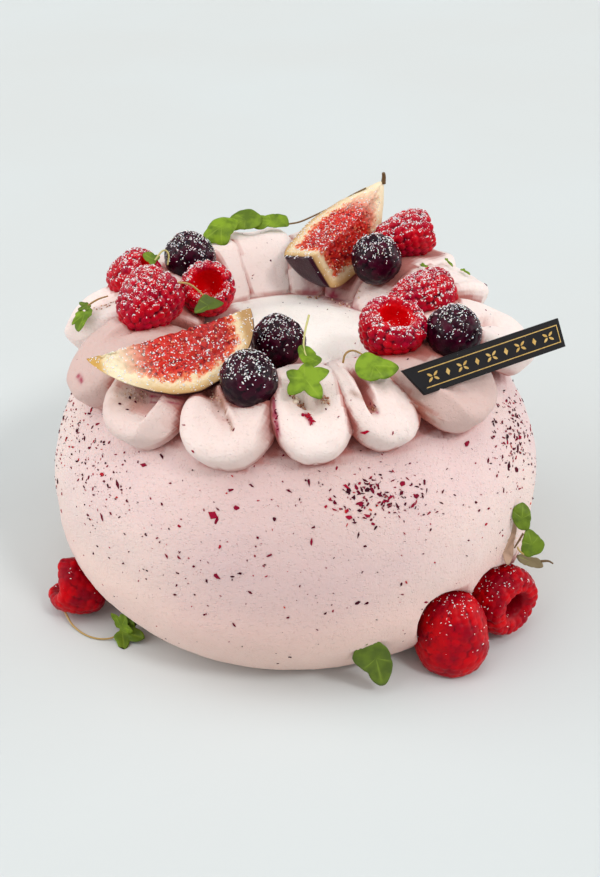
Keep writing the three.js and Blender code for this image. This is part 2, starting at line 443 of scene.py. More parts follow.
class Bench:
    """A node tree being filled."""

    def __init__(self, tree: bpy.types.NodeTree) -> None:
        """Keep the tree.

        Args:
            tree: A material's or a group's node tree.
        """
        self.tree = tree

    def add(self, kind: str, inputs: dict | None = None, **settings: object) -> bpy.types.Node:
        """Add a node.

        Args:
            kind: The node's type, without its ShaderNode prefix.
            inputs: Values or sockets for its inputs, by name or number.
            **settings: Properties of the node.

        Returns:
            The new node.
        """
        node = self.tree.nodes.new("ShaderNode" + kind)
        for key, value in settings.items():
            setattr(node, key, value)
        for key, value in (inputs or {}).items():
            if isinstance(value, Socket):
                self.tree.links.new(value, node.inputs[key])
            elif isinstance(value, tuple) and len(value) == 3 and node.inputs[key].type == "RGBA":
                node.inputs[key].default_value = (*value, 1.0)
            else:
                node.inputs[key].default_value = value
        return node

    def place(self) -> Socket:
        """Return the place on the object, in metres."""
        return self.add("TexCoord").outputs["Object"]

    def mask(self, name: str) -> Socket:
        """Return one of the mesh's masks."""
        return self.add("Attribute", attribute_name=name).outputs["Fac"]

    def maths(self, operation: str, first: object, second: object = 0.0, clamp: bool = False) -> Socket:
        """Return the result of one sum on two values."""
        node = self.add("Math", {0: first, 1: second}, operation=operation, use_clamp=clamp)
        return node.outputs["Value"]

    def product(self, first: object, second: object) -> Socket:
        """Return two values multiplied."""
        return self.maths("MULTIPLY", first, second)

    def noise(self, place: Socket, scale: object, **inputs: float) -> Socket:
        """Return noise at a place; the keywords are the node's other inputs."""
        return self.add("TexNoise", {"Vector": place, "Scale": scale, **inputs}).outputs["Fac"]

    def mixed(self, share: object, under: object, over: object) -> Socket:
        """Return the first colour with a share of the second one over it."""
        node = self.add("Mix", {0: share, 6: under, 7: over}, data_type="RGBA", clamp_factor=True)
        return node.outputs[2]

    def ramp(self, value: Socket, stops: Sequence[tuple[float, Colour]]) -> Socket:
        """Return the colour of a ramp at a value.

        Args:
            value: Where on the ramp.
            stops: Each stop's place and colour.

        Returns:
            The colour's socket.
        """
        node = self.add("ValToRGB", {0: value})
        band = node.color_ramp.elements
        while len(band) < len(stops):
            band.new(1.0)
        for element, (at, colour) in zip(band, stops):
            element.position = at
            element.color = (*colour, 1.0)
        return node.outputs["Color"]

    def step(self, value: object, low: float, high: float) -> Socket:
        """Return a smooth step of a value from 0 at low to 1 at high."""
        inputs = {"Value": value, "From Min": low, "From Max": high}
        return self.add("MapRange", inputs, interpolation_type="SMOOTHSTEP").outputs["Result"]


class Effect(Enum):
    """Effects that several materials share, each one node group."""

    DRIFT = "colour_drift"
    GRAIN = "surface_grain"
    BLOOM = "sugar_bloom"


GROUP_SOCKETS: dict[Effect, tuple[dict[str, str], str, str]] = {
    Effect.DRIFT: (
        {"Place": "Vector", "Scale": "Float", "Base": "Color", "Drift": "Color"}, "Color", "Color",
    ),
    Effect.GRAIN: ({"Place": "Vector", "Scale": "Float", "Pits": "Float"}, "Height", "Float"),
    Effect.BLOOM: (
        {"Place": "Vector", "Scale": "Float", "Amount": "Float", "Base": "Color", "Dust": "Color"},
        "Color", "Color",
    ),
}


def effect_group(effect: Effect) -> bpy.types.NodeTree:
    """Return an effect's node group, building it the first time.

    Args:
        effect: Which effect.

    Returns:
        The node group.
    """
    if effect.value in bpy.data.node_groups:
        return bpy.data.node_groups[effect.value]
    tree = bpy.data.node_groups.new(effect.value, "ShaderNodeTree")
    inputs, result, kind = GROUP_SOCKETS[effect]
    for name, socket in inputs.items():
        tree.interface.new_socket(name, in_out="INPUT", socket_type="NodeSocket" + socket)
    tree.interface.new_socket(result, in_out="OUTPUT", socket_type="NodeSocket" + kind)
    bench = Bench(tree)
    given = tree.nodes.new("NodeGroupInput").outputs
    output = tree.nodes.new("NodeGroupOutput")
    build = {Effect.DRIFT: drift_nodes, Effect.GRAIN: grain_nodes, Effect.BLOOM: bloom_nodes}[effect]
    tree.links.new(build(bench, given), output.inputs[result])
    return tree


def drift_nodes(bench: Bench, given: bpy.types.NodeOutputs) -> Socket:
    """Return the colour of the drift effect: broad patches, with finer ones among them."""
    broad = bench.noise(given["Place"], given["Scale"], Detail=3.0)
    share = bench.step(broad, 0.35, 0.68)
    return bench.mixed(share, given["Base"], given["Drift"])


def grain_nodes(bench: Bench, given: bpy.types.NodeOutputs) -> Socket:
    """Return the height of the grain effect: fine grain with small round pits."""
    fine = bench.noise(given["Place"], given["Scale"], Detail=4.0, Roughness=0.6)
    cells = bench.add("TexVoronoi", {"Vector": given["Place"], "Scale": given["Scale"]})
    pit = bench.maths("SUBTRACT", 1.0, bench.step(cells.outputs["Distance"], 0.1, 0.34))
    sunk = bench.product(pit, given["Pits"])
    return bench.maths("SUBTRACT", fine, sunk)


def bloom_nodes(bench: Bench, given: bpy.types.NodeOutputs) -> Socket:
    """Return the colour of the bloom effect: fine sugar on whatever faces up."""
    facing = bench.add("SeparateXYZ", {0: bench.add("NewGeometry").outputs["Normal"]}).outputs["Z"]
    fine = bench.noise(given["Place"], given["Scale"], Detail=2.0, Distortion=1.2)
    up = bench.step(facing, -0.1, 0.95)
    level = bench.product(bench.product(up, given["Amount"]), 0.34)
    share = bench.step(bench.maths("ADD", fine, level), 0.76, 0.82)
    return bench.mixed(share, given["Base"], given["Dust"])


@dataclass(frozen=True)
class Finish:
    """A material: its shader's constants, with the colour and relief left to each kind of finish."""

    name: str
    roughness: float = 0.5
    specular: float = 0.5
    metallic: float = 0.0
    coat: float = 0.0
    subsurface: float = 0.0
    subsurface_reach: float = 1.0
    sheen: float = 0.0
    relief: float = 0.1
    grain: float = 1500.0
    pits: float = 0.1

    def colour(self, bench: Bench) -> Socket:
        """Return the socket of the surface's colour."""
        raise NotImplementedError

    def height(self, bench: Bench) -> Socket:
        """Return the socket of the surface's fine relief."""
        return self.effect(bench, Effect.GRAIN, Scale=self.grain, Pits=self.pits)

    def material(self) -> Material:
        """Return the material, building it the first time.

        Returns:
            The finished material.
        """
        if self.name in bpy.data.materials:
            return bpy.data.materials[self.name]
        made = bpy.data.materials.new(self.name)
        made.use_nodes = True
        bench = Bench(made.node_tree)
        shader = made.node_tree.nodes["Principled BSDF"]
        constants = {
            "Roughness": self.roughness, "Specular IOR Level": self.specular, "Metallic": self.metallic,
            "Coat Weight": self.coat, "Coat Roughness": 0.15, "Sheen Weight": self.sheen,
            "Subsurface Weight": self.subsurface, "Subsurface Radius": (1.0, 0.42, 0.3),
            "Subsurface Scale": self.subsurface_reach * MM,
        }
        for socket, value in constants.items():
            shader.inputs[socket].default_value = value
        bench.tree.links.new(self.colour(bench), shader.inputs["Base Color"])
        relief = {"Height": self.height(bench), "Distance": self.relief * MM, "Strength": 1.0}
        bump = bench.add("Bump", relief)
        bench.tree.links.new(bump.outputs["Normal"], shader.inputs["Normal"])
        return made

    @staticmethod
    def effect(bench: Bench, effect: Effect, **inputs: object) -> Socket:
        """Return the output of a shared effect, placed in this material.

        Args:
            bench: The material's bench.
            effect: Which effect.
            **inputs: Values for the effect's inputs, by name.

        Returns:
            The effect's output socket.
        """
        node = bench.add("Group", node_tree=effect_group(effect))
        for key, value in {"Place": bench.place(), **inputs}.items():
            if isinstance(value, Socket):
                bench.tree.links.new(value, node.inputs[key])
            else:
                node.inputs[key].default_value = (*value, 1.0) if isinstance(value, tuple) else value
        return node.outputs[0]


@dataclass(frozen=True)
class CreamFinish(Finish):
    """Whipped cream: pale pink, faintly porous, stained where fruit has touched it; painted shade and light
    are mixed into its colour.
    """

    tone: Colour = (0.8, 0.8, 0.8)
    warm: Colour = (0.8, 0.8, 0.8)
    stain: Colour = linear(158, 12, 62)
    crumb: Colour = linear(150, 104, 78)
    # fold is painted shade: the red-brown darkening in crevices between and under the petals and fruit.
    fold: Colour = linear(170, 72, 58)
    shaded: Colour = linear(216, 186, 180)
    # crown is painted light: the flat top is lightened towards it.
    crown: Colour = linear(255, 245, 237)
    # foot is painted warm shade and bounce light: the cream turns warmer towards the bottom.
    foot: Colour = linear(240, 199, 180)
    pore: Colour = linear(206, 164, 152)
    pore_strength: float = 0.09
    # Strength of the painted crevice shade.
    crevice_shade_strength: float = 0.85
    pits: float = 0.5

    def colour(self, bench: Bench) -> Socket:
        """Build the cream's colour, with its fruit stains and crumbs, and its painted shade and light.

        Args:
            bench: The material's bench.

        Returns:
            The colour's socket.
        """
        drift = self.effect(bench, Effect.DRIFT, Scale=22.0, Base=self.tone, Drift=self.warm)
        toned = bench.mixed(bench.mask("shade"), drift, self.shaded)
        # Painted warm shade and bounce light towards the bottom.
        foot_shaded = bench.mixed(bench.product(bench.mask("foot"), 0.7), toned, self.foot)
        # Painted light on the flat top.
        cream = bench.mixed(bench.mask("crown"), foot_shaded, self.crown)
        speck = bench.noise(bench.place(), self.grain * 0.8, Detail=2.0)
        pore = bench.product(bench.step(speck, 0.56, 0.72), self.pore_strength)
        pored = bench.mixed(pore, cream, self.pore)
        # Painted shade in the crevices, where other cream or fruit crowds close.
        fold = bench.product(bench.mask("fold"), self.crevice_shade_strength)
        crevice_shaded = bench.mixed(fold, pored, self.fold)
        stained = bench.mixed(bench.mask("stain"), crevice_shaded, self.stain)
        return bench.mixed(bench.mask("crumb"), stained, self.crumb)


@dataclass(frozen=True)
class BerryFinish(Finish):
    """Moist fruit skin: bright on each drupelet, with painted shade in the valleys between them, and sugar on
    top.
    """

    light: Colour = (0.5, 0.0, 0.0)
    shade: Colour = (0.3, 0.0, 0.0)
    deep: Colour = (0.1, 0.0, 0.0)
    inside: Colour = (0.5, 0.0, 0.0)
    contrast: float = 1.0
    dust: Colour = linear(240, 214, 214)
    bloom: float = 0.6
    grain: float = 1400.0

    def colour(self, bench: Bench) -> Socket:
        """Return the fruit's colour, from its valleys to its sugar."""
        skin = self.effect(bench, Effect.DRIFT, Scale=150.0, Base=self.light, Drift=self.shade)
        toned = bench.mixed(bench.mask("tone"), skin, self.deep)
        # Painted shade in the valleys between the drupelets or bumps.
        furrow = bench.product(bench.step(bench.mask("valley"), 0.3, 0.95), self.contrast)
        valley = bench.mixed(furrow, toned, self.deep)
        body = bench.mixed(bench.mask("hollow"), valley, self.inside)
        return self.effect(bench, Effect.BLOOM, Scale=1900.0, Amount=self.bloom, Base=body, Dust=self.dust)


@dataclass(frozen=True)
class FigFinish(Finish):
    """Cut fig: a thin skin, a pale rim and red flesh, told apart by their depth under the skin."""

    skin: Colour = linear(50, 12, 30)
    edge: Colour = linear(210, 172, 116)
    rim: Colour = linear(234, 208, 168)
    blush: Colour = linear(228, 104, 62)
    flesh: Colour = linear(212, 42, 28)
    deep: Colour = linear(122, 4, 22)
    tan: Colour = linear(184, 142, 92)
    core: Colour = linear(243, 228, 194)
    stem_end: Colour = linear(206, 160, 78)
    dust: Colour = linear(244, 226, 220)
    bloom: float = 0.3
    grain: float = 1100.0
    pits: float = 0.3

    def colour(self, bench: Bench) -> Socket:
        """Build the fig's colour, from its skin to its middle.

        Args:
            bench: The material's bench.

        Returns:
            The colour's socket.
        """
        strands = bench.noise(bench.place(), 620.0, Detail=4.0)
        shift = bench.product(bench.maths("SUBTRACT", strands, 0.5), 0.8)
        inside = bench.product(shift, bench.step(bench.mask("depth"), 0.1, 0.4))
        depth = bench.maths("ADD", bench.mask("depth"), inside, clamp=True)
        cut = bench.ramp(
            depth,
            [(0.0, self.tan), (0.14, self.edge), (0.3, self.rim), (0.4, self.rim), (0.54, self.blush),
             (0.76, self.flesh), (1.0, self.flesh)],
        )
        pulp = bench.noise(bench.place(), 900.0, Detail=2.0)
        dark = bench.product(bench.step(pulp, 0.5, 0.66), bench.step(depth, 0.45, 0.7))
        wet = bench.mixed(dark, cut, self.deep)
        # The flesh darkens towards the far end.
        ripe = bench.product(bench.mask("ripe"), bench.step(depth, 0.5, 0.9))
        # Painted shade, with deeper flesh, on the far half of one face.
        shaded = bench.mixed(bench.maths("MAXIMUM", bench.mask("shade"), ripe), wet, self.deep)
        tanned = bench.mixed(bench.mask("end"), shaded, self.tan)
        pale = bench.mixed(bench.mask("tip"), tanned, self.core)
        ended = bench.mixed(bench.step(bench.mask("tip"), 0.96, 1.16), pale, self.stem_end)
        dusted = self.effect(bench, Effect.BLOOM, Scale=1700.0, Amount=self.bloom, Base=ended, Dust=self.dust)
        return bench.mixed(bench.mask("skin"), dusted, self.skin)


@dataclass(frozen=True)
class LeafFinish(Finish):
    """A young leaf: mottled green, paler along its veins."""

    light: Colour = linear(126, 155, 30)
    dark: Colour = linear(86, 112, 14)
    vein: Colour = linear(166, 188, 66)
    limp: Colour = linear(72, 86, 30)
    dry: Colour = linear(186, 150, 128)
    grain: float = 1200.0
    pits: float = 0.4

    def colour(self, bench: Bench) -> Socket:
        """Return the leaf's colour, from its blade to its veins and its dry parts."""
        blade = self.effect(bench, Effect.DRIFT, Scale=260.0, Base=self.light, Drift=self.dark)
        aged = bench.mixed(bench.mask("age"), blade, self.limp)
        dried = bench.mixed(bench.step(bench.mask("age"), 1.5, 2.2), aged, self.dry)
        return bench.mixed(bench.product(bench.mask("vein"), 0.4), dried, self.vein)


@dataclass(frozen=True)
class ToneFinish(Finish):
    """Small loose bits, each with its own tone along a ramp."""

    stops: tuple[tuple[float, Colour], ...] = ()
    grain: float = 2500.0
    pits: float = 0.2

    def colour(self, bench: Bench) -> Socket:
        """Return each bit's own colour, slightly mottled."""
        mottle = bench.noise(bench.place(), self.grain)
        shift = bench.product(bench.maths("SUBTRACT", mottle, 0.5), 0.2)
        return bench.ramp(bench.maths("ADD", bench.mask("tone"), shift, clamp=True), self.stops)


@dataclass(frozen=True)
class PlainFinish(Finish):
    """One material with slight drift in its colour: card, foil or the floor."""

    tone: Colour = (0.5, 0.5, 0.5)
    other: Colour = (0.5, 0.5, 0.5)
    dust: Colour = linear(190, 186, 186)
    scale: float = 120.0
    bloom: float = 0.0

    def colour(self, bench: Bench) -> Socket:
        """Return the drifting colour, with sugar where there is any."""
        base = self.effect(bench, Effect.DRIFT, Scale=self.scale, Base=self.tone, Drift=self.other)
        if not self.bloom:
            return base
        return self.effect(bench, Effect.BLOOM, Scale=1700.0, Amount=self.bloom, Base=base, Dust=self.dust)


COAT_CREAM = CreamFinish(
    "coat_cream", roughness=0.62, specular=0.25, subsurface=0.15, subsurface_reach=1.5, sheen=0.3, relief=0.3,
    tone=linear(229, 200, 198), warm=linear(238, 212, 203), shaded=linear(210, 179, 177), grain=1000.0,
)
PETAL_CREAM = CreamFinish(
    "petal_cream", roughness=0.58, specular=0.25, subsurface=0.15, subsurface_reach=1.2, relief=0.22,
    tone=linear(243, 227, 221), warm=linear(238, 217, 210), shaded=linear(206, 174, 166), grain=1100.0,
)
RASPBERRY = BerryFinish(
    "raspberry_skin", roughness=0.28, specular=0.12, subsurface=0.2, relief=0.03,
    light=linear(206, 2, 26), shade=linear(172, 0, 44), deep=linear(88, 0, 26),
    inside=linear(214, 0, 10), bloom=0.5,
)
CLEAN_RASPBERRY = BerryFinish(
    "clean_raspberry_skin", roughness=0.36, specular=0.1, subsurface=0.2, relief=0.05,
    light=linear(210, 0, 12), shade=linear(158, 0, 26), deep=linear(104, 0, 20),
    inside=linear(138, 0, 18), contrast=0.7, bloom=0.0,
)
DARK_SKIN = BerryFinish(
    "dark_berry_skin", roughness=0.26, specular=0.14, relief=0.05, light=linear(72, 6, 34),
    shade=linear(46, 2, 24), deep=linear(20, 0, 12), inside=linear(30, 4, 14),
    dust=linear(236, 230, 232), bloom=0.2,
)
FIG_FLESH = FigFinish(
    "fig_flesh", roughness=0.34, specular=0.22, coat=0.1, subsurface=0.15, subsurface_reach=0.8, relief=0.12,
)
LEAF_GREEN = LeafFinish("leaf_green", specular=0.22, relief=0.06)
STEM = ToneFinish(
    "stem", relief=0.04,
    stops=((0.0, linear(98, 70, 32)), (0.5, linear(178, 140, 74)), (1.0, linear(196, 190, 120))),
)
FLAKE = ToneFinish(
    "fruit_flake", roughness=0.7, specular=0.1, relief=0.03,
    stops=(
        (0.0, linear(46, 2, 20)), (0.4, linear(96, 4, 34)), (0.72, linear(142, 8, 46)),
        (0.92, linear(172, 12, 44)), (1.0, linear(200, 66, 34)),
    ),
)
CRUMB = ToneFinish(
    "sponge_crumb", roughness=0.8, specular=0.1, relief=0.05,
    stops=(
        (0.0, linear(128, 50, 44)), (0.4, linear(166, 108, 82)), (0.75, linear(214, 182, 156)),
        (1.0, linear(242, 224, 206)),
    ),
)
SUGAR = ToneFinish(
    "sugar_grain", subsurface=0.3, subsurface_reach=0.4, relief=0.02,
    stops=((0.0, linear(236, 226, 226)), (1.0, linear(255, 252, 250))),
)
SEED = ToneFinish(
    "fig_seed", roughness=0.35, coat=0.3, relief=0.02,
    stops=((0.0, linear(206, 54, 34)), (0.6, linear(224, 104, 62)), (1.0, linear(240, 178, 140))),
)
CARD = PlainFinish(
    "charcoal_card", roughness=0.45, specular=0.2, relief=0.03, tone=linear(15, 12, 15),
    other=linear(20, 17, 20), scale=300.0, bloom=0.08,
)
FOIL = PlainFinish(
    "gold_foil", roughness=0.34, metallic=1.0, relief=0.02, tone=linear(226, 190, 120),
    other=linear(206, 166, 92), scale=900.0,
)
FLOOR = PlainFinish(
    "pale_floor", roughness=0.8, specular=0.15, relief=0.01, tone=linear(206, 209, 208),
    other=linear(207, 212, 212), scale=3.0, grain=300.0,
)


# Cream ----------------------------------------------------


class Mark(Enum):
    """What a mark on the cream is made of; the value names its mask."""

    JUICE = "stain"
    CRUMB = "crumb"


@dataclass(frozen=True)
class Smudge:
    """A soft-edged mark on the cream, longer one way if it has an end."""

    at: Place
    reach: float
    strength: float
    end: Place | None = None

    def spread(self, points: Array) -> Array:
        """Return how strongly the mark shows.

        Args:
            points: Places on the cream.

        Returns:
            The strength at each of them, from 0 to 1.
        """
        start = np.array(self.at)
        run = np.array(self.end or self.at) - start
        share = np.clip((points - start) @ run / max(run @ run, 1e-6), 0.0, 1.0)
        gap = points - start - share[..., None] * run
        outward = np.sum(gap * unit(start - UP * CAKE_MIDDLE), axis=-1)
        beside = np.clip(np.sum(gap * gap, axis=-1) - (1.0 - 0.14**2) * outward**2, 0.0, None)
        return self.strength * np.exp(-beside / self.reach**2)


SMUDGES = {
    Mark.JUICE: (
        Smudge((2.9, -61.2, 92), 0.7, 1, (4.4, -64.2, 91)),
        Smudge((-6.4, -58, 95.6), 0.6, 1, (-6, -62, 92.6)),
        Smudge((-5.9, -62, 92.4), 0.8, 1, (-4.9, -66, 88)),
        Smudge((-42.6, -43, 87.9), 0.4, 0.75, (-34.8, -48.8, 91)),
        Smudge((-42.8, -44.8, 86.8), 0.35, 0.7, (-35, -50.6, 90)),
        Smudge((-42.6, -43, 87.9), 0.35, 0.7, (-42.8, -44.8, 86.8)),
        Smudge((-34.8, -48.8, 91), 0.35, 0.7, (-35, -50.6, 90)),
        Smudge((-68.1, -25, 85.7), 0.9, 0.8, (-66.2, -29.7, 86)),
        Smudge((3, 37.6, 86.8), 0.9, 0.6, (13.2, 34, 86.2)),
        Smudge((13.2, 34, 86.2), 0.9, 0.7, (21.5, 23.2, 86.4)),
        Smudge((19, -53.4, 93.4), 0.5, 0.8, (23.6, -60, 92)),
        # This broad faint mark above the foot berries is partly juice and partly painted red reflection and
        # shade from them.
        Smudge((50, -62, 30), 6, 0.2, (64, -48, 30)),
        Smudge((14, -36, 88), 1.2, 0.4, (22, -22, 86)),
    ),
    Mark.CRUMB: (
        Smudge((-1.6, -55.4, 95.8), 0.9, 0.7, (2.4, -57.4, 92.8)),
        Smudge((7.2, -55.6, 94.8), 1.2, 0.5, (8.9, -58.2, 94.2)),
        Smudge((16.3, -56.2, 96.6), 0.8, 0.6, (22.8, -58.6, 92.2)),
        Smudge((-21.4, -55.2, 91.7), 0.5, 0.9, (-18.2, -63.8, 88.6)),
        Smudge((-25, -54, 96), 2.2, 0.6, (-22.6, -57.2, 95)),
        # This one, round the crumbs at the top of the second petal, is partly crumb stain and partly painted
        # shade under the left fig.
        Smudge((-52, -44.8, 87), 3, 0.4, (-47.9, -44.7, 87.1)),
        Smudge((-62, 10, 96), 4.5, 0.3, (-70, 4, 92)),
        Smudge((36, -51.5, 93.4), 2.4, 0.35, (44, -57, 86)),
    ),
}


def cream_masks(points: Array, crowding: Array | None = None) -> Masks:
    """Return the masks of every mark on the cream.

    Args:
        points: Places on the cream, in millimetres.
        crowding: How closely other cream stands round each place, from 0 to 1.

    Returns:
        One mask for each kind of mark, broken up a little, and the fold mask of painted shade where the cream
        is crowded.
    """
    patchy = np.clip(1.0 + 0.45 * Ripples(61, 2.6)(points), 0.55, 1.25)
    # The fold mask is painted shade, growing with how crowded each place is.
    crevice_shaded = np.zeros(points.shape[:-1]) if crowding is None else ease(crowding, 0.16, 0.62)
    masks = {"fold": crevice_shaded}
    for kind in Mark:
        total = sum(smudge.spread(points) for smudge in SMUDGES[kind])
        masks[kind.value] = np.clip(total * patchy, 0.0, 0.9)
    return masks


@dataclass(frozen=True)
class Dent:
    """A shallow hollow in the side of the cake, from a hand or a fruit."""

    azimuth: float
    height: float
    depth: float
    reach: float


@dataclass
class CreamCoat:
    """The cream spread over the whole cake: a foot that draws in, a wall, and a rounded shoulder.

    Painted shade darkens its colour round one azimuth at the front, fading out over a spread in degrees.
    """

    node: str = "cake_dome"
    foot_radius: float = 65.8
    foot_height: float = 30.0
    fillet: float = 3.0
    shoulder_reach: float = 45.6
    shoulder_height: float = 47.5
    power: float = 2.2
    crown: float = 2.6
    rings: int = 156
    around: int = 390
    # Where, how wide and how strong the painted shade at the front is.
    shade_azimuth: float = -92.0
    shade_spread: float = 36.0
    shade_strength: float = 0.75
    dents: tuple[Dent, ...] = (
        Dent(-40, 33, 1.2, 9),
        Dent(-58, 29, 0.9, 7),
        Dent(-92, 62, 0.8, 12),
        Dent(-128, 66, 0.7, 10),
        Dent(-20, 60, 0.6, 13),
        Dent(60, 45, 0.9, 15),
        Dent(150, 50, 0.8, 14),
    )

    @cached_property
    def radius(self) -> float:
        """Return the widest radius of the cake."""
        low, high = node_box(self.node)
        return (high[0] - low[0]) / 2.0

    @cached_property
    def height(self) -> float:
        """Return the height of the crown."""
        return node_box(self.node)[1][2]

    def outline(self) -> Array:
        """Return half the outline of the cake.

        Returns:
            Its points as (radius, height), from the underside up to the crown.
        """
        turn = np.linspace(0.0, math.pi / 2.0, 7)
        inset = self.foot_radius - self.fillet
        foot = np.stack([inset + self.fillet * np.sin(turn), self.fillet * (1.0 - np.cos(turn))], axis=1)
        level = np.linspace(self.fillet, self.foot_height, 24)[1:]
        swell = (self.radius - self.foot_radius) * np.sin(math.pi / 2.0 * level / self.foot_height)
        wall = np.stack([self.foot_radius + swell, level], axis=1)
        turn = np.linspace(0.0, math.pi / 2.0, 60)
        out = np.cos(turn) ** (2.0 / self.power)
        up = np.sin(turn) ** (2.0 / self.power)
        start = self.height - self.shoulder_height
        shoulder = np.stack(
            [self.radius - self.shoulder_reach * (1.0 - out), start + self.shoulder_height * up], axis=1
        )
        return np.vstack([[[2.0, 0.0], [inset * 0.6, 0.0]], foot, wall, shoulder, [[1.0, self.height]]])

    def pressed(self, points: Array, fruits: Sequence[Raspberry]) -> Array:
        """Push the cream back from the fruits at the foot.

        Args:
            points: Points of the coat.
            fruits: The fruits, each pushed in from the front.

        Returns:
            The points, moved towards the middle where a fruit is in their way.
        """
        inward = -unit(points * LEVEL)
        for fruit in fruits:
            low, high = node_box(fruit.node)
            middle, reach = (low + high) / 2.0, (high - low).min() / 2.0
            came = aim(*fruit.pushed)
            for _ in range(60):
                gap = points - middle
                along = np.clip(np.sum(gap * came, axis=-1, keepdims=True), 0.0, None)
                near = np.linalg.norm(gap - along * came, axis=-1) < reach
                points = points + np.where(near[..., None], 0.3 * inward, 0.0)
        return points

    def skin(self, fruits: Sequence[Raspberry]) -> Array:
        """Return the coat's skin.

        Args:
            fruits: The fruits that stand against its foot.

        Returns:
            Its points, as (ring, place in ring, xyz).
        """
        outline = rounded_line(self.outline(), 1, self.rings)
        rings = outline[:, None, :1] * level_ways(self.around) + outline[:, None, 1:] * UP
        uneven = 0.55 * Ripples(11, 46.0)(rings) + 0.16 * Ripples(12, 13.0)(rings)
        uneven += 0.07 * Ripples(13, 5.0)(rings) + 0.03 * Ripples(14, 2.2)(rings)
        for dent in self.dents:
            place = aim(90.0, dent.azimuth) * self.radius + UP * dent.height
            gap = np.linalg.norm(rings - place, axis=-1)
            uneven -= dent.depth * np.exp(-((gap / dent.reach) ** 2))
        held = ease(rings[..., 2], 0.5, 8.0)
        rings = raised(rings, np.clip(uneven, -2.5, 0.9) * held)
        swell = 1.0 - ease(np.hypot(rings[..., 0], rings[..., 1]), 20.0, 34.0)
        rings[..., 2] += self.crown * swell * (rings[..., 2] > 60.0)
        return self.pressed(rings, fruits)

    def build(self, rings: Array, over: Landing) -> Piece:
        """Build the coat.

        Args:
            rings: Its skin.
            over: Everything that lies on it.

        Returns:
            The finished piece.
        """
        # Its fold mask is painted shade under and between the petals and fruit.
        masks = cream_masks(rings, over.crowding(rings, reach=9.0))
        # Painted light: lightens the flat top.
        masks["crown"] = ease(rings[..., 2], 80.0, 84.0)
        # Painted warm shade and bounce light, growing towards the bottom.
        masks["foot"] = 1.0 - ease(rings[..., 2], 6.0, 52.0)
        # Painted shade: darkest at the front, so that the sides look more lit.
        turned = np.degrees(np.arctan2(rings[..., 1], rings[..., 0])) - self.shade_azimuth
        masks["shade"] = self.shade_strength * np.exp(-((turned / self.shade_spread) ** 2))
        piece = make_piece("cream_coat", rolled(rings, masks), COAT_CREAM.material())
        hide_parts(self.node)
        return piece


@dataclass(frozen=True)
class Fold:
    """A crease in the top of a petal, steep on one side, with a lip thrown up beyond the steep side.

    The ends are (along, across) the petal; wall is 1 where the steep side is the right one seen from
    the start, or -1 for the left.
    """

    start: tuple[float, float]
    end: tuple[float, float]
    depth: float
    steep: float = 1.3
    broad: float = 4.0
    wall: int = -1
    lip: float = 0.5

    def lift(self, place: Array, size: Array) -> Array:
        """Return how far the crease raises the cream, below zero where it lowers it.

        Args:
            place: (along, across) of each point.
            size: Length and half width of the petal, in millimetres.

        Returns:
            The change in height in millimetres.
        """
        start = np.array(self.start) * size
        run = np.array(self.end) * size - start
        gap = place * size - start
        share = np.clip(gap @ run / (run @ run), 0.0, 1.0)
        gap = gap - share[..., None] * run
        side = run[0] * gap[..., 1] - run[1] * gap[..., 0]
        distance = np.linalg.norm(gap, axis=-1)
        width = np.where(side * self.wall > 0.0, self.steep, self.broad)
        strength = (0.35 + 0.65 * ease(share, 0.0, 0.3)) * (1.0 - share**4)
        deep = self.depth * strength * np.exp(-((distance / width) ** 2))
        ridge = np.exp(-(((distance - 2.0 * self.steep) / (1.3 * self.steep)) ** 2))
        return self.lip * ridge * (side * self.wall > 0.0) * strength * ease(share, 0.0, 0.3) - deep


@dataclass(frozen=True)
class Dip:
    """A smooth hollow, or a swelling where its depth is below zero, in the top of a petal."""

    at: tuple[float, float]
    reach: tuple[float, float]
    depth: float

    def lift(self, place: Array, size: Array) -> Array:
        """Return how far the dip raises the cream; the arguments are those of Fold.lift."""
        gap = (place - np.array(self.at)) * size / np.array(self.reach)
        return -self.depth * np.exp(-np.sum(gap**2, axis=-1))


@dataclass(frozen=True)
class Bevel:
    """A sloping flank: the face ends in an edge there, and the cream falls away to that side.

    side is 1 for the right and -1 for the left; start is how far across the edge lies.
    """

    side: int
    start: float
    drop: float
    begin: float = 0.3

    def lift(self, place: Array, size: Array) -> Array:
        """Return how far the flank lowers the cream; the arguments are those of Fold.lift."""
        share = np.clip((place[..., 1] * self.side - self.start) / (1.0 - self.start), 0.0, 1.0)
        return -self.drop * share * ease(place[..., 0], self.begin, self.begin + 0.25)


Form = Fold | Dip | Bevel
GROOVED: tuple[Form, ...] = (
    Fold((0.35, -0.3), (0.78, -0.45), 3.6, 1.1, 3, -1, 0.7),
    Dip((0.5, 0.2), (8, 3.5), 1.4),
    Bevel(1, 0.35, 4),
)
CREASED: tuple[Form, ...] = (
    Fold((0.5, -0.35), (0.8, 0.25), 2.6, 0.9, 2.4, 1, 0.8),
    Dip((0.5, -0.35), (6, 3.6), 2.4),
    Bevel(1, 0.66, 3.6),
)
DISHED: tuple[Form, ...] = (
    Dip((0.62, -0.1), (7.5, 3.8), 3.4),
    Fold((0.4, 0.1), (0.72, 0.2), 1.6, 0.9, 2.4, 1),
    Bevel(1, 0.6, 3.6),
)
SMOOTH: tuple[Form, ...] = (Dip((0.35, 0.05), (12, 5), 1.2), Bevel(1, 0.7, 3))
ROUNDED: tuple[Form, ...] = (Fold((0.4, 0.35), (0.8, 0.6), 1.6, 0.8, 3, 1, 0.5), Bevel(-1, 0.5, 3, 0.2))
HOLLOWED: tuple[Form, ...] = (
    Dip((0.3, 0), (14, 6), 0.6), Bevel(1, 0.75, 2, 0.1), Dip((0.75, 0), (7, 5), 2),
)
SLOPED: tuple[Form, ...] = (Fold((0.05, 0), (0.6, 0.1), 1.4), Bevel(1, 0.6, 3))


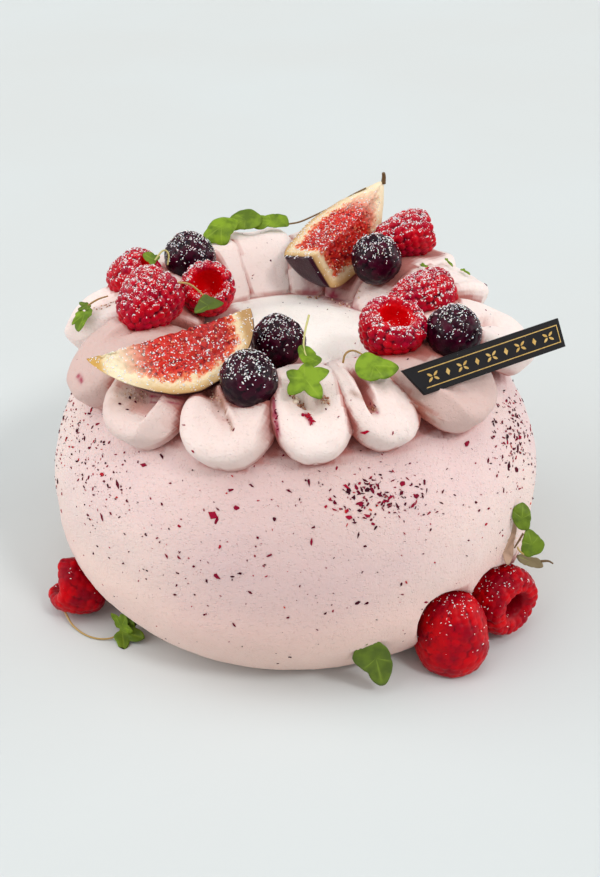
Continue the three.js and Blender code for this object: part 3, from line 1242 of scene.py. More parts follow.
@dataclass(frozen=True)
class Petal:
    """One tongue of cream, drawn from its nose over the shoulder in to its tail.

    azimuth, nose and height place the tip; turn swings the tail round from the radial line, rise lifts
    the bend and tail is the radius where it starts. The edges are 2 for round and more for squarer.
    """

    azimuth: float
    nose: float
    height: float
    width: float
    turn: float = 0.0
    rise: float = 0.0
    tail: float = 32.0
    tail_width: float = 9.0
    forms: tuple[Form, ...] = GROOVED
    dish: float = 1.7
    left_edge: float = 5.0
    right_edge: float = 4.4
    bluntness: float = 2.4
    nose_edge: float = 5.0
    underside: float = 0.76
    inset: float = 2.8
    shade: float = 0.0
    tail_height: float = 86.6
    bend_height: float = 99.8
    bend_along: float = 0.55
    tail_thickness: float = 7.0
    thickness: float = 17.0
    full_width: float = 0.55
    nose_length: float = 0.32
    tail_length: float = 0.1
    stations: int = 70
    around: int = 68

    def spine(self, along: Array) -> tuple[Array, Array, float]:
        """Return the middle line of the petal.

        Args:
            along: Places along the petal, from 0 to 1.

        Returns:
            The points there, the unit headings there, and the length of the whole line.
        """
        tip = aim(90.0, self.azimuth) * (self.nose - self.inset) + UP * self.height
        root = aim(90.0, self.azimuth - self.turn) * self.tail + UP * self.tail_height
        over = root + (tip - root) * self.bend_along
        over[2] = self.bend_height + self.rise
        share = along[:, None]
        points = (1 - share) ** 2 * root + 2 * share * (1 - share) * over + share**2 * tip
        heading = unit((1 - share) * (over - root) + share * (tip - over))
        length = float(np.linalg.norm(over - root) + np.linalg.norm(tip - over)) * 0.95
        return points, heading, length

    def sizes(self, along: Array) -> tuple[Array, Array]:
        """Return how broad and how thick the petal is.

        Args:
            along: Places along the petal, from 0 to 1.

        Returns:
            Half the width and half the thickness at each of them.
        """
        spread = ease(along, 0.0, self.full_width)
        closing = np.clip(1.0 - (1.0 - along) / self.nose_length, 0.0, 1.0)
        opening = (1.0 - np.clip(1.0 - along / self.tail_length, 0.0, 1.0) ** 3) ** (1.0 / 3.0)
        half = (self.tail_width + (self.width - self.tail_width) * spread) / 2.0 * opening
        thick = (self.tail_thickness + (self.thickness - self.tail_thickness) * spread) / 2.0 * opening
        half = half * (1.0 - closing**self.bluntness) ** (1.0 / self.bluntness)
        return half, thick * (1.0 - closing**self.nose_edge) ** (1.0 / self.nose_edge)

    def section(self, turn: Array) -> tuple[Array, Array]:
        """Return how far to the side and how far up each turn round the squared section lies."""
        cos, sin = np.cos(turn), np.sin(turn)
        edge = np.where(cos > 0.0, self.right_edge, self.left_edge)
        power = 2.0 / np.where(sin > 0.0, edge, 2.0)
        rise = np.where(sin > 0.0, 1.0, -self.underside) * np.abs(sin) ** power
        return np.sign(cos) * np.abs(cos) ** power, rise

    def turns(self) -> Array:
        """Return turns round the section that leave its points evenly apart, and fewer of them underneath."""
        fine = np.linspace(0.0, 2.0 * math.pi, 4001)
        side, rise = self.section(fine)
        step = np.hypot(np.diff(side) * self.width, np.diff(rise) * self.thickness)
        walked = np.concatenate([[0.0], np.cumsum(step * np.where(rise[1:] > 0.0, 1.0, 0.4))])
        return np.interp(walked[-1] * np.arange(self.around) / self.around, walked, fine)

    def rings(self, seed: int) -> Array:
        """Return the petal's skin.

        Args:
            seed: Seed of its unevenness.

        Returns:
            Its points, as (ring, place in ring, xyz).
        """
        share = (np.arange(self.stations) + 0.5) / self.stations
        along = 1.0 - (1.0 - share) ** 1.45
        points, heading, length = self.spine(along)
        up, across = square_to(heading, UP)
        half, thick = self.sizes(along)
        side, rise = self.section(self.turns())
        beside = side * (half / self.width * 2.0)[:, None]
        place = np.stack(np.broadcast_arrays(along[:, None], beside), axis=-1)
        size = np.array([length, self.width / 2.0])
        face = ease(rise, 0.1, 0.85)
        lift = sum(form.lift(place, size) for form in self.forms) * face
        inner = np.hypot(place[..., 1], np.clip((along[:, None] - 0.62) / 0.38, 0.0, 1.0))
        lift -= self.dish * (1.0 - ease(inner, 0.5, 0.88)) * face * ease(along, 0.1, 0.4)[:, None]
        rings = points[:, None] - across[:, None] * (half[:, None] * side)[..., None]
        rings = rings + up[:, None] * (thick[:, None] * rise + lift)[..., None]
        uneven = 0.26 * Ripples(seed, 15.0)(rings) + 0.1 * Ripples(seed + 50, 5.0)(rings)
        streaks = np.sin(place[..., 1] * 17.0 + 3.0 * Ripples(seed + 90, 24.0)(rings))
        uneven += 0.05 * streaks * face + 0.03 * Ripples(seed + 70, 1.9)(rings)
        return raised(rings, uneven * ease(half, 0.0, 3.0)[:, None])


# The petals at the front have a finer mesh.
FINE = {"stations": 104, "around": 112}


@dataclass
class PetalRing:
    """The ring of piped petals round the crown, in the order they were piped."""

    petals: tuple[Petal, ...] = (
        Petal(-160, 74, 76, 29, 4, nose_edge=7, dish=1, inset=3.8, shade=0.9, **FINE, forms=(
            Dip((0.42, 0.15), (10, 5), 2.2), Fold((0.3, -0.4), (0.7, -0.3), 2.4, 0.8, 3.4, -1),
        )),
        Petal(-134.5, 74, 76, 28, 4, -5, shade=0.5, dish=1.2, right_edge=5, **FINE, forms=(
            Dip((0.72, -0.05), (6.5, 4.8), 3), Fold((0.56, 0.3), (0.88, 0.44), 2.8, 0.8, 4, 1, 0.4),
            Bevel(1, 0.5, 5.5), Dip((0.52, 0.85), (8, 4.5), 3.2),
        )),
        Petal(-108.5, 72.6, 77, 28.5, 4, -4.2, 27, shade=0.2, dish=1, right_edge=5, **FINE, forms=(
            Dip((0.54, -0.6), (3.6, 2.4), 2.4), Fold((0.5, -0.7), (0.84, 0.3), 2.6, 0.75, 2.4, 1, 1),
            Dip((0.6, 0.5), (8, 4), -1), Bevel(1, 0.76, 4.5), Dip((0.5, -0.95), (8, 4.5), 3.4),
        )),
        Petal(-85, 70, 79, 24, 2, -0.6, 27, dish=1.2, **FINE, forms=(
            Dip((0.66, -0.12), (5, 4.4), 3), Fold((0.46, 0.1), (0.76, 0.2), 2, 0.8, 3.2, 1, 0.5),
            Bevel(1, 0.68, 4.2),
        )),
        Petal(-64.5, 70, 80.5, 24.5, 0, -1.5, 27, shade=0.15, dish=0.8, **FINE, forms=(
            Fold((0.36, -0.44), (0.86, -0.5), 4.6, 0.9, 2, -1, 1.4),
            Fold((0.46, -0.1), (0.78, -0.3), -1.6, 1.3, 1.3, 1, 0), Dip((0.62, 0.1), (6.5, 2.6), 1.2),
            Bevel(1, 0.2, 6.5),
        )),
        Petal(-36.8, 72.5, 78.6, 34, 15, -2, 29, shade=0.9, dish=0.6, left_edge=5, **FINE, forms=(
            Bevel(-1, 0.76, 6.5, 0.25), Fold((0.62, -0.6), (0.82, -0.3), 1.8, 0.7, 3, 1, 0.3),
            Dip((0.55, 0.1), (9, 6), 2), Bevel(1, 0.74, 3),
        )),
        Petal(-3, 75.5, 79, 29, 4, tail_width=12, forms=CREASED, inset=1.8),
        Petal(26, 70.5, 86, 25, 4, tail_width=12, tail_height=84, forms=SMOOTH),
        Petal(45, 74, 88, 26, 2, tail_width=12, tail_height=84, forms=ROUNDED),
        Petal(65, 75, 86, 26, tail=37, tail_width=13, tail_height=83.4, forms=DISHED),
        Petal(84, 76, 86, 25, tail=38, tail_width=13, tail_height=83.4),
        Petal(104, 76, 87, 27, tail=38, tail_width=18, tail_height=83.4, forms=HOLLOWED,
              left_edge=3.4, right_edge=3, dish=0.5),
        Petal(124, 75, 86, 25, tail=37, tail_width=13, tail_height=83.4, forms=SLOPED),
        Petal(146, 76, 83, 26, 2, tail_width=11, forms=CREASED),
        Petal(171, 77, 80, 28, 4, tail_width=11, forms=DISHED),
    )

    def build(self, coat: Array, fruits: Sequence[Piece]) -> list[Piece]:
        """Build every petal.

        Args:
            coat: Skin of the coat of cream under them.
            fruits: The fruits that lie on them.

        Returns:
            The finished pieces.
        """
        skins = [petal.rings(200 + index) for index, petal in enumerate(self.petals)]
        around = Landing(fruits, [rolled(coat), *(rolled(skin) for skin in skins)])
        pieces = []
        for index, skin in enumerate(skins):
            number = f"{index + 1:02d}"
            # Its fold mask is painted shade where the coat, other petals and fruit crowd close.
            masks = cream_masks(skin, around.crowding(skin, reach=10.0))
            masks["shade"] = np.full(skin.shape[:2], self.petals[index].shade)
            patch = rolled(skin, masks)
            piece = make_piece(f"piped_petal_{number}", patch, PETAL_CREAM.material())
            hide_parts(f"cream_petal_{number}")
            pieces.append(piece)
        return pieces


# Fruit ----------------------------------------------------


def drupelets(rings: Array, centres: Array, reach: Array) -> tuple[Array, Array]:
    """Return the rounded bumps that crowd a fruit's skin.

    Args:
        rings: Points of the skin, as (ring, place in ring, xyz).
        centres: The middle of each bump.
        reach: The radius of each bump.

    Returns:
        The height of the bumps at each point from 0 to 1, and the number of the bump it belongs to.
    """
    gap = np.linalg.norm(rings[:, :, None] - centres, axis=-1) / reach
    height = np.clip(1.0 - gap**2, 0.0, 1.0) ** 0.7
    return height.max(axis=-1), gap.argmin(axis=-1)


@dataclass(frozen=True)
class Raspberry:
    """A hollow raspberry: rows of drupelets from its tip to a rim, and a smooth hollow inside.

    tilt and towards aim its open end; notch drops the two flanks of the rim.
    """

    node: str
    diameter: float
    length: float
    tilt: float
    towards: float
    notch: float = 0.0
    hollow: float = 0.25
    drupelet: float = 3.0
    relief: float = 1.15
    rows: int = 84
    around: int = 130
    pushed: tuple[float, float] = (90.0, -72.0)
    sugared: bool = True

    def outline(self) -> Array:
        """Return half the outline of the fruit.

        Returns:
            Its points as (radius, along, inside), from the tip over the rim and in.
        """
        turn = math.pi / 2.0 * np.linspace(0.03, 0.9655, 14)
        radius = self.diameter / 2.0 * np.sin(turn) ** 0.75
        along = self.length * (1.0 - np.cos(turn)) * 0.84
        wall = np.stack([radius, along, np.zeros_like(turn)], axis=1)
        shares = (
            (0.43, 0.965, 0.0), (0.385, 1.0, 0.0), (self.hollow + 0.04, 0.97, 1.0),
            (self.hollow, 0.86, 2.0), (self.hollow * 0.8, 0.62, 2.0), (self.hollow * 0.45, 0.5, 2.0),
            (0.01, 0.48, 2.0),
        )
        rim = np.array([[out * self.diameter, up * self.length, inside] for out, up, inside in shares])
        return np.vstack([wall, rim])

    def patch(self, seed: int) -> Patch:
        """Return the raspberry's skin, fitted to its node.

        Args:
            seed: Seed of its unevenness.

        Returns:
            The closed skin with its masks.
        """
        rng = np.random.default_rng(seed)
        outline = rounded_line(self.outline(), 2, self.rows)
        turn = even_turns(self.around)
        rim = np.clip(outline[:, 1] / self.length, 0.0, 1.0)

        def skin(radius: Array, along: Array, angle: Array, level: Array) -> Array:
            """Return points of the smooth skin under the drupelets."""
            drop = self.notch * self.length * level**3 * np.sin(angle) ** 2
            return np.stack([radius * np.cos(angle), radius * np.sin(angle), along - drop], axis=-1)

        rings = skin(outline[:, :1] - 0.35, outline[:, 1:2], turn, rim[:, None])
        steps = np.linalg.norm(np.diff(outline[:, :2], axis=0), axis=1)
        reach = np.concatenate([[0.0], np.cumsum(steps)])
        end = reach[outline[:, 2] < 0.7].max()
        centres, sizes = [], []
        columns = (outline[:, 0], outline[:, 1], rim)
        rows = max(4, round(end / (self.drupelet * 0.86)))
        for row in range(rows):
            at = end * (row + 0.35) / (rows - 0.35)
            radius, along, level = (np.interp(at, reach, column) for column in columns)
            count = max(3, round(2.0 * math.pi * radius / self.drupelet))
            shifted = np.arange(count) + 0.5 * (row % 2) + rng.uniform(-0.16, 0.16, count)
            angle = 2.0 * math.pi * shifted / count
            middle = skin(np.full(count, radius - 0.35), np.full(count, along), angle, np.full(count, level))
            centres.append(middle + rng.normal(0.0, 0.12, middle.shape))
            sizes.append(self.drupelet * rng.uniform(0.57, 0.65, count))
        bump, owner = drupelets(rings, np.vstack(centres), np.concatenate(sizes))
        inside = ease(outline[:, 2], 0.5, 1.4)[:, None]
        height = self.relief * bump * (1.0 - inside) + 0.12 * inside * Ripples(seed + 1, 1.8)(rings)
        tones = rng.uniform(0.0, 0.35, owner.max() + 1)
        # valley is painted shade between the drupelets.
        masks = {
            "valley": (1.0 - bump) * (1.0 - inside),
            "tone": tones[owner] * (1.0 - inside),
            "hollow": np.broadcast_to(inside, bump.shape),
        }
        rings = raised(rings, height + 0.2 * Ripples(seed + 2, 9.0)(rings))
        axis = aim(self.tilt, self.towards)
        side, over = square_to(axis, aim(self.tilt + 90.0, self.towards))
        rings = rings @ np.stack([side, over, axis])
        return fitted(rolled(rings, masks), self.node)

    def build(self, seed: int) -> Piece:
        """Build the raspberry and return its piece."""
        finish = RASPBERRY if self.sugared else CLEAN_RASPBERRY
        piece = make_piece(self.node + "_fruit", self.patch(seed), finish.material())
        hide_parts(self.node)
        return piece


@dataclass(frozen=True)
class DarkBerry:
    """A round dark berry, slightly square, with low crowded bumps."""

    node: str
    bumps: int = 120
    relief: float = 0.32
    squareness: float = 2.2
    rows: int = 64
    around: int = 100

    def build(self, seed: int) -> Piece:
        """Build the berry.

        Args:
            seed: Seed of its unevenness.

        Returns:
            The finished piece.
        """
        low, high = node_box(self.node)
        radius = (high[0] - low[0]) / 2.0
        rng = np.random.default_rng(seed)
        tilt = math.pi * (np.arange(self.rows) + 0.5) / self.rows
        turn = even_turns(self.around)
        ball = np.stack(
            [np.outer(np.sin(tilt), np.cos(turn)), np.outer(np.sin(tilt), np.sin(turn)),
             np.outer(np.cos(tilt), np.ones_like(turn))],
            axis=-1,
        )
        power = self.squareness
        ball = ball / (np.abs(ball) ** power).sum(axis=-1, keepdims=True) ** (1.0 / power)
        spin = aim(rng.uniform(15.0, 50.0), rng.uniform(0.0, 360.0))
        side, over = square_to(spin, np.array([1.0, 0.3, 0.1]))
        rings = radius * ball @ np.stack([side, over, spin])
        golden = math.pi * (3.0 - math.sqrt(5.0)) * np.arange(self.bumps)
        level = 1.0 - 2.0 * (np.arange(self.bumps) + 0.5) / self.bumps
        flat = np.sqrt(1.0 - level**2)
        centres = radius * np.stack([flat * np.cos(golden), flat * np.sin(golden), level], axis=1)
        centres += rng.normal(0.0, 0.3, centres.shape)
        size = radius * math.sqrt(4.0 / self.bumps) * rng.uniform(1.0, 1.25, self.bumps)
        bump, owner = drupelets(rings, centres, size)
        height = self.relief * bump + 0.25 * Ripples(seed + 1, 9.0)(rings)
        rings = raised(rings, height + 0.05 * Ripples(seed + 2, 1.2)(rings))
        tones = rng.uniform(0.0, 0.9, self.bumps)
        # valley is painted shade between the bumps.
        masks = {"valley": 1.0 - bump, "tone": tones[owner], "hollow": np.zeros_like(bump)}
        piece = make_piece(
            self.node + "_fruit", fitted(rolled(rings, masks), self.node), DARK_SKIN.material()
        )
        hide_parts(self.node)
        return piece


@dataclass(frozen=True)
class FigWedge:
    """A quarter of a fig, cut lengthwise: two cut faces that meet at the core edge, and the skin.

    Each of blunt and far_blunt squares one end and lean bows the core edge to one side; pale_tip pales
    the stem end, shade_end darkens the far half of one face with painted shade and deeper flesh colour,
    and capped is 0 where no skin shows there.
    """

    node: str
    stem: Place
    core_end: Place
    skin: Place
    radius: float
    opening: float = 88.0
    belly: float = 1.25
    blunt: float = 0.6
    pale_tip: float = 0.0
    shade_end: float = 0.0
    far_blunt: float = 0.3
    lean: float = 0.0
    capped: float = 1.0
    rim_depth: float = 9.0
    seeds: int = 150
    stations: int = 120
    face_points: int = 44
    skin_points: int = 36

    def axes(self) -> tuple[Array, Array, Array, Array, float]:
        """Return the stem end, the core's heading, the way its back faces, the way across, and its length."""
        return line_axes(self.stem, self.core_end, self.skin)

    def reach(self, along: Array) -> Array:
        """Return how far the skin lies from the core edge at places along it."""
        blunt = self.blunt + (self.far_blunt - self.blunt) * ease(along, 0.5, 0.85)
        return self.radius * np.sin(math.pi * along**self.belly) ** blunt

    def place(self, along: Array, out: Array, angle: Array) -> Array:
        """Return points of the wedge.

        Args:
            along: From 0 at the stem to 1 at the far end.
            out: From 0 at the core edge to 1 at the skin.
            angle: Radians round the core, 0 at the middle of the back.

        Returns:
            The points, in millimetres.
        """
        start, axis, back, side, length = self.axes()
        reach = self.reach(along) * out
        flat = along * length
        bowed = self.lean * np.sin(math.pi * along) * (1.0 - out) ** 2
        return (
            start
            + axis * flat[..., None]
            + back * (reach * np.cos(angle))[..., None]
            + side * (reach * np.sin(angle) + bowed)[..., None]
        )

    def patch(self, seed: int) -> Patch:
        """Return the wedge's skin and cut faces.

        Args:
            seed: Seed of its unevenness.

        Returns:
            The closed skin with its masks.
        """
        half = math.radians(self.opening / 2.0)
        out = np.linspace(0.0, 1.0, self.face_points)
        turn = np.linspace(-half, half, self.skin_points + 2)[1:-1]
        outs = np.concatenate([out, np.ones(self.skin_points), out[:0:-1]])
        angles = np.concatenate([np.full(len(out), -half), turn, np.full(len(out) - 1, half)])
        skinned = np.concatenate([np.zeros(len(out)), np.ones(self.skin_points), np.zeros(len(out) - 1)])
        share = (np.arange(self.stations) + 0.5) / self.stations
        along = (0.5 - 0.5 * np.cos(math.pi * share))[:, None] * np.ones(len(outs))
        rings = self.place(along, np.broadcast_to(outs, along.shape), np.broadcast_to(angles, along.shape))
        start, axis, _, _, length = self.axes()
        under = np.minimum(self.reach(along) * (1.0 - outs), (0.965 - along) * length)
        depth = np.clip(under, 0.0, 2.0 * self.rim_depth) * (1.0 - skinned)
        skinned = np.maximum(skinned, self.capped * ease(along, 0.955, 0.972))
        pulp = ease(depth, 2.6, 5.0)
        bumpy = 0.42 * Ripples(seed, 2.1, 40)(rings) + 0.3 * Ripples(seed + 1, 5.0)(rings) - 0.35
        smooth = 0.14 * Ripples(seed + 2, 7.0)(rings)
        rings = raised(rings, pulp * bumpy + (1.0 - pulp) * smooth)
        masks = {
            "depth": depth / self.rim_depth,
            "skin": skinned * (1.0 - self.pale_tip * (1.0 - ease(along, 0.12, 0.3))),
            "tip": self.pale_tip * (1.0 - ease(along, 0.12, 0.4)) + 0.2 * (1.0 - ease(along, 0.03, 0.12)),
            # Darker flesh towards the far end.
            "ripe": 0.42 * ease(along, 0.35, 0.85),
            "end": (1.0 - self.capped) * ease(along, 0.9, 0.95),
            "shade": self.shade_end * ease(along, 0.4, 0.8) * (angles > half * 0.9) * pulp,
        }
        return rolled(rings, masks, start, start + axis * length)

    def seed_patch(self, seed: int) -> Patch:
        """Return the seeds that show on both cut faces.

        Args:
            seed: Seed of the draw.

        Returns:
            The seeds as one patch.
        """
        rng = np.random.default_rng(seed)
        half = math.radians(self.opening / 2.0)
        axis = self.axes()[1]
        seeds = []
        while len(seeds) < self.seeds:
            along, out = rng.uniform(0.26, 0.86), rng.uniform(0.04, 0.9)
            if float(self.reach(np.array(along))) * (1.0 - out) < rng.uniform(3.2, 5.2):
                continue
            angle = half * rng.choice([-1.0, 1.0])
            middle = self.place(np.array(along), np.array(out), np.array(angle * 0.995))
            size = rng.uniform(0.2, 0.34)
            heading = unit(axis + rng.normal(0.0, 0.6, 3))
            seeds.append(grain(middle, heading, size * 1.5, size, rng.uniform(0, 1), 6))
        return Patch.joined(seeds)

    def build(self, seed: int) -> Piece:
        """Build the wedge with its seeds.

        Args:
            seed: Seed of its unevenness.

        Returns:
            The finished wedge.
        """
        piece = make_piece(self.node + "_fruit", self.patch(seed), FIG_FLESH.material())
        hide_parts(self.node)
        make_piece(self.node + "_seeds", self.seed_patch(seed + 5), SEED.material())
        return piece


def grain(middle: Array, heading: Array, length: float, width: float, tone: float, around: int = 4) -> Patch:
    """Return one small rounded grain.

    Args:
        middle: Its middle.
        heading: The way it points.
        length: Half its length.
        width: Half its width.
        tone: Its place along its finish's ramp.
        around: How many sides it has.

    Returns:
        The grain.
    """
    first, second = square_to(heading, np.array([0.2, 0.3, 1.0]))
    turn = even_turns(around)
    ring = first * np.cos(turn)[:, None] + second * np.sin(turn)[:, None]
    steps = ((-0.4, 0.9), (0.4, 0.9))
    rings = np.stack([middle + heading * step * length + ring * width * wide for step, wide in steps])
    tones = np.full(rings.shape[:2], tone)
    return rolled(rings, {"tone": tones}, middle - heading * length, middle + heading * length)


# Card and greenery ----------------------------------------


@dataclass
class Plaque:
    """A thin charcoal card with one end cut at a slant, framed and ornamented in gold."""

    node: str = "plaque"
    start: Place = (33.3, -53.8, 92.6)
    end: Place = (82.6, -28.0, 97.4)
    lean: Place = (0.0, 0.5, 0.86)
    width: float = 9.0
    thickness: float = 1.4
    slant: float = 5.0
    bevel: float = 0.22
    line: float = 0.28
    inset: float = 1.7
    foil: float = 0.06
    diamond: tuple[float, float] = (0.75, 1.15)
    sprig_reach: float = 1.25
    sprig_leaf: float = 0.95

    def axes(self) -> tuple[Array, Array, Array, Array, float]:
        """Return the lower corner, the ways along, up and out of the card, and its length."""
        return line_axes(self.start, self.end, self.lean)

    def slab(self, corners: Array, low: float, high: float, bevel: float) -> Patch:
        """Return a flat shape with thickness.

        Args:
            corners: Its outline as (along, up), in order.
            low: How far behind the card's middle it starts.
            high: How far in front of the middle it ends.
            bevel: How much its edges are rounded.

        Returns:
            The closed slab.
        """
        start, along, up, out, _ = self.axes()
        middle = corners.mean(axis=0)
        inner = middle + (corners - middle) * (1.0 - 2.0 * bevel / np.ptp(corners, axis=0).clip(min=1e-3))
        layers = [(inner, low), (corners, low + bevel), (corners, high - bevel), (inner, high)]
        rings = np.stack(
            [start + flat[:, :1] * along + flat[:, 1:] * up + level * out for flat, level in layers]
        )
        return rolled(rings)

    def leaf_shape(self, at: tuple[float, float], angle: float, size: float) -> Array:
        """Return the outline of one pointed ornament leaf as (along, up) corners."""
        turn = np.linspace(0.0, 2.0 * math.pi, 13)[:-1]
        rise = 0.42 * size * np.sin(turn) * np.abs(np.sin(turn)) ** 0.6
        blade = np.stack([size * np.cos(turn), rise], axis=1)
        spin = math.radians(angle)
        turned = blade @ np.array([[math.cos(spin), math.sin(spin)], [-math.sin(spin), math.cos(spin)]])
        return turned + np.array(at)

    def ornament(self) -> list[Array]:
        """Return the gold on the card: a frame, with sprigs and diamonds inside it.

        Returns:
            The outline of each shape as (along, up) corners.
        """
        length = self.axes()[-1]
        low, high = self.inset, self.width - self.inset
        left, right = self.slant + 1.2, length - 1.3

        def bar(x0: float, y0: float, x1: float, y1: float) -> Array:
            """Return the four corners of a bar."""
            return np.array([[x0, y0], [x1, y0], [x1, y1], [x0, y1]])

        shapes = [
            bar(left, low, right, low + self.line),
            bar(left - 1.4, high - self.line, right, high),
            bar(right - self.line, low + self.line, right, high - self.line),
        ]
        middle = self.width / 2.0
        places = np.linspace(left + 3.0, right - 4.0, 9)
        for index, x in enumerate(places):
            if index % 2:
                out, up = self.diamond
                corners = [[x - out, middle], [x, middle - up], [x + out, middle], [x, middle + up]]
                shapes.append(np.array(corners))
                continue
            for angle in (35.0, 145.0, 215.0, 325.0):
                spin = math.radians(angle)
                at = (x + self.sprig_reach * math.cos(spin), middle + self.sprig_reach * math.sin(spin))
                shapes.append(self.leaf_shape(at, angle, self.sprig_leaf))
        return shapes

    def build(self) -> Piece:
        """Build the card and its gold.

        Returns:
            The finished card.
        """
        length = self.axes()[-1]
        corners = np.array([[self.slant, 0.0], [length, 0.0], [length, self.width], [0.0, self.width]])
        front = self.thickness / 2.0
        card = self.slab(corners, -front, front, self.bevel)
        piece = make_piece("plaque_card", card, CARD.material(), smooth=False)
        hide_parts(self.node)
        gold = [self.slab(shape, front - 0.05, front + self.foil, 0.01) for shape in self.ornament()]
        make_piece("plaque_gold", Patch.joined(gold), FOIL.material(), smooth=False)
        return piece


Lobe = tuple[float, float, float]
BLADE: tuple[Lobe, ...] = ((0, 1, 24), (180, 0.8, 24))


@dataclass(frozen=True)
class Leaf:
    """A young lobed leaf.

    at is where its blade meets its stem and tip is the end of its middle lobe; facing is the way its
    upper side looks. Each lobe is (degrees from the middle, length share, half width in degrees);
    reaches, where given, are the outline instead, as shares of the length at even turns.
    """

    at: Place
    tip: Place
    facing: Place
    lobes: tuple[Lobe, ...] = ((0, 1, 38), (-58, 0.86, 34), (58, 0.86, 34))
    waist: float = 0.42
    point: float = 0.9
    cup: float = 0.12
    fold: float = 0.1
    curl: float = 0.08
    age: float = 0.0
    reaches: tuple[float, ...] = ()
    thickness: float = 0.28
    rows: int = 9
    around: int = 80

    def patch(self, seed: int) -> Patch:
        """Return the leaf as a thin closed skin.

        Args:
            seed: Seed of its unevenness.

        Returns:
            The skin with its masks.
        """
        start, main, up, side, size = line_axes(self.at, self.tip, self.facing)
        turn = even_turns(self.around)
        degrees = (np.degrees(turn) + 180.0) % 360.0 - 180.0
        reach = np.full(self.around, self.waist)
        vein = np.zeros(self.around)
        for angle, length, wide in self.lobes:
            off = np.abs((degrees - angle + 180.0) % 360.0 - 180.0)
            share = np.clip(1.0 - off / wide, 0.0, 1.0)
            reach = np.maximum(reach, self.waist + (length - self.waist) * share**self.point)
            vein = np.maximum(vein, np.exp(-((off / 3.5) ** 2)))
        behind = ease(np.abs(degrees), 100.0, 170.0)
        reach = reach * (1.0 - 0.75 * behind) + 0.035 * np.abs(np.sin(6.5 * turn)) * (1.0 - behind)
        if self.reaches:
            places = np.arange(len(self.reaches) + 1) * 2.0 * math.pi / len(self.reaches)
            reach = np.interp(turn, places, [*self.reaches, self.reaches[0]])
            reach = (np.roll(reach, 1) + 2.0 * reach + np.roll(reach, -1)) / 4.0
        shares = np.linspace(0.04, 1.0, self.rows)
        outward = np.concatenate([shares, shares[::-1]])
        layer = np.concatenate([np.full(self.rows, 0.5), np.full(self.rows, -0.5)])
        thin = (1.0 - 0.7 * outward**6)[:, None]
        radius = size * outward[:, None] * reach
        flat = radius[..., None] * (main * np.cos(turn)[:, None] + side * np.sin(turn)[:, None])
        bent = self.cup * size * (radius / size) ** 2 + self.fold * radius * np.abs(np.sin(turn))
        waves = self.curl * radius * Ripples(seed, size * 0.7)(flat)
        groove = -0.12 * vein * np.minimum(outward[:, None] * 2.0, 1.0)
        level = bent + waves + groove + self.thickness * layer[:, None] * thin
        rings = start + flat + up * level[..., None]
        middle = start + up * (self.thickness / 2.0)
        masks = {
            "vein": vein * (1.0 - outward[:, None] ** 3),
            "age": np.full(radius.shape, self.age),
        }
        return rolled(rings, masks, middle, middle - up * self.thickness)


@dataclass(frozen=True)
class Stem:
    """A thin bent stem through a few places; tone is its place from brown to pale green."""

    places: tuple[Place, ...]
    radius: float = 0.34
    end_radius: float = 0.26
    tone: float = 0.8

    def patch(self) -> Patch:
        """Return the stem as a tube."""
        line = rounded_line(np.array(self.places, float), 3, 28)
        made = tube(line, np.linspace(self.radius, self.end_radius, len(line)))
        made.points[:, 2] = np.maximum(made.points[:, 2], 0.05)
        return Patch(made.points, made.faces, {"tone": np.full(len(made.points), self.tone)})


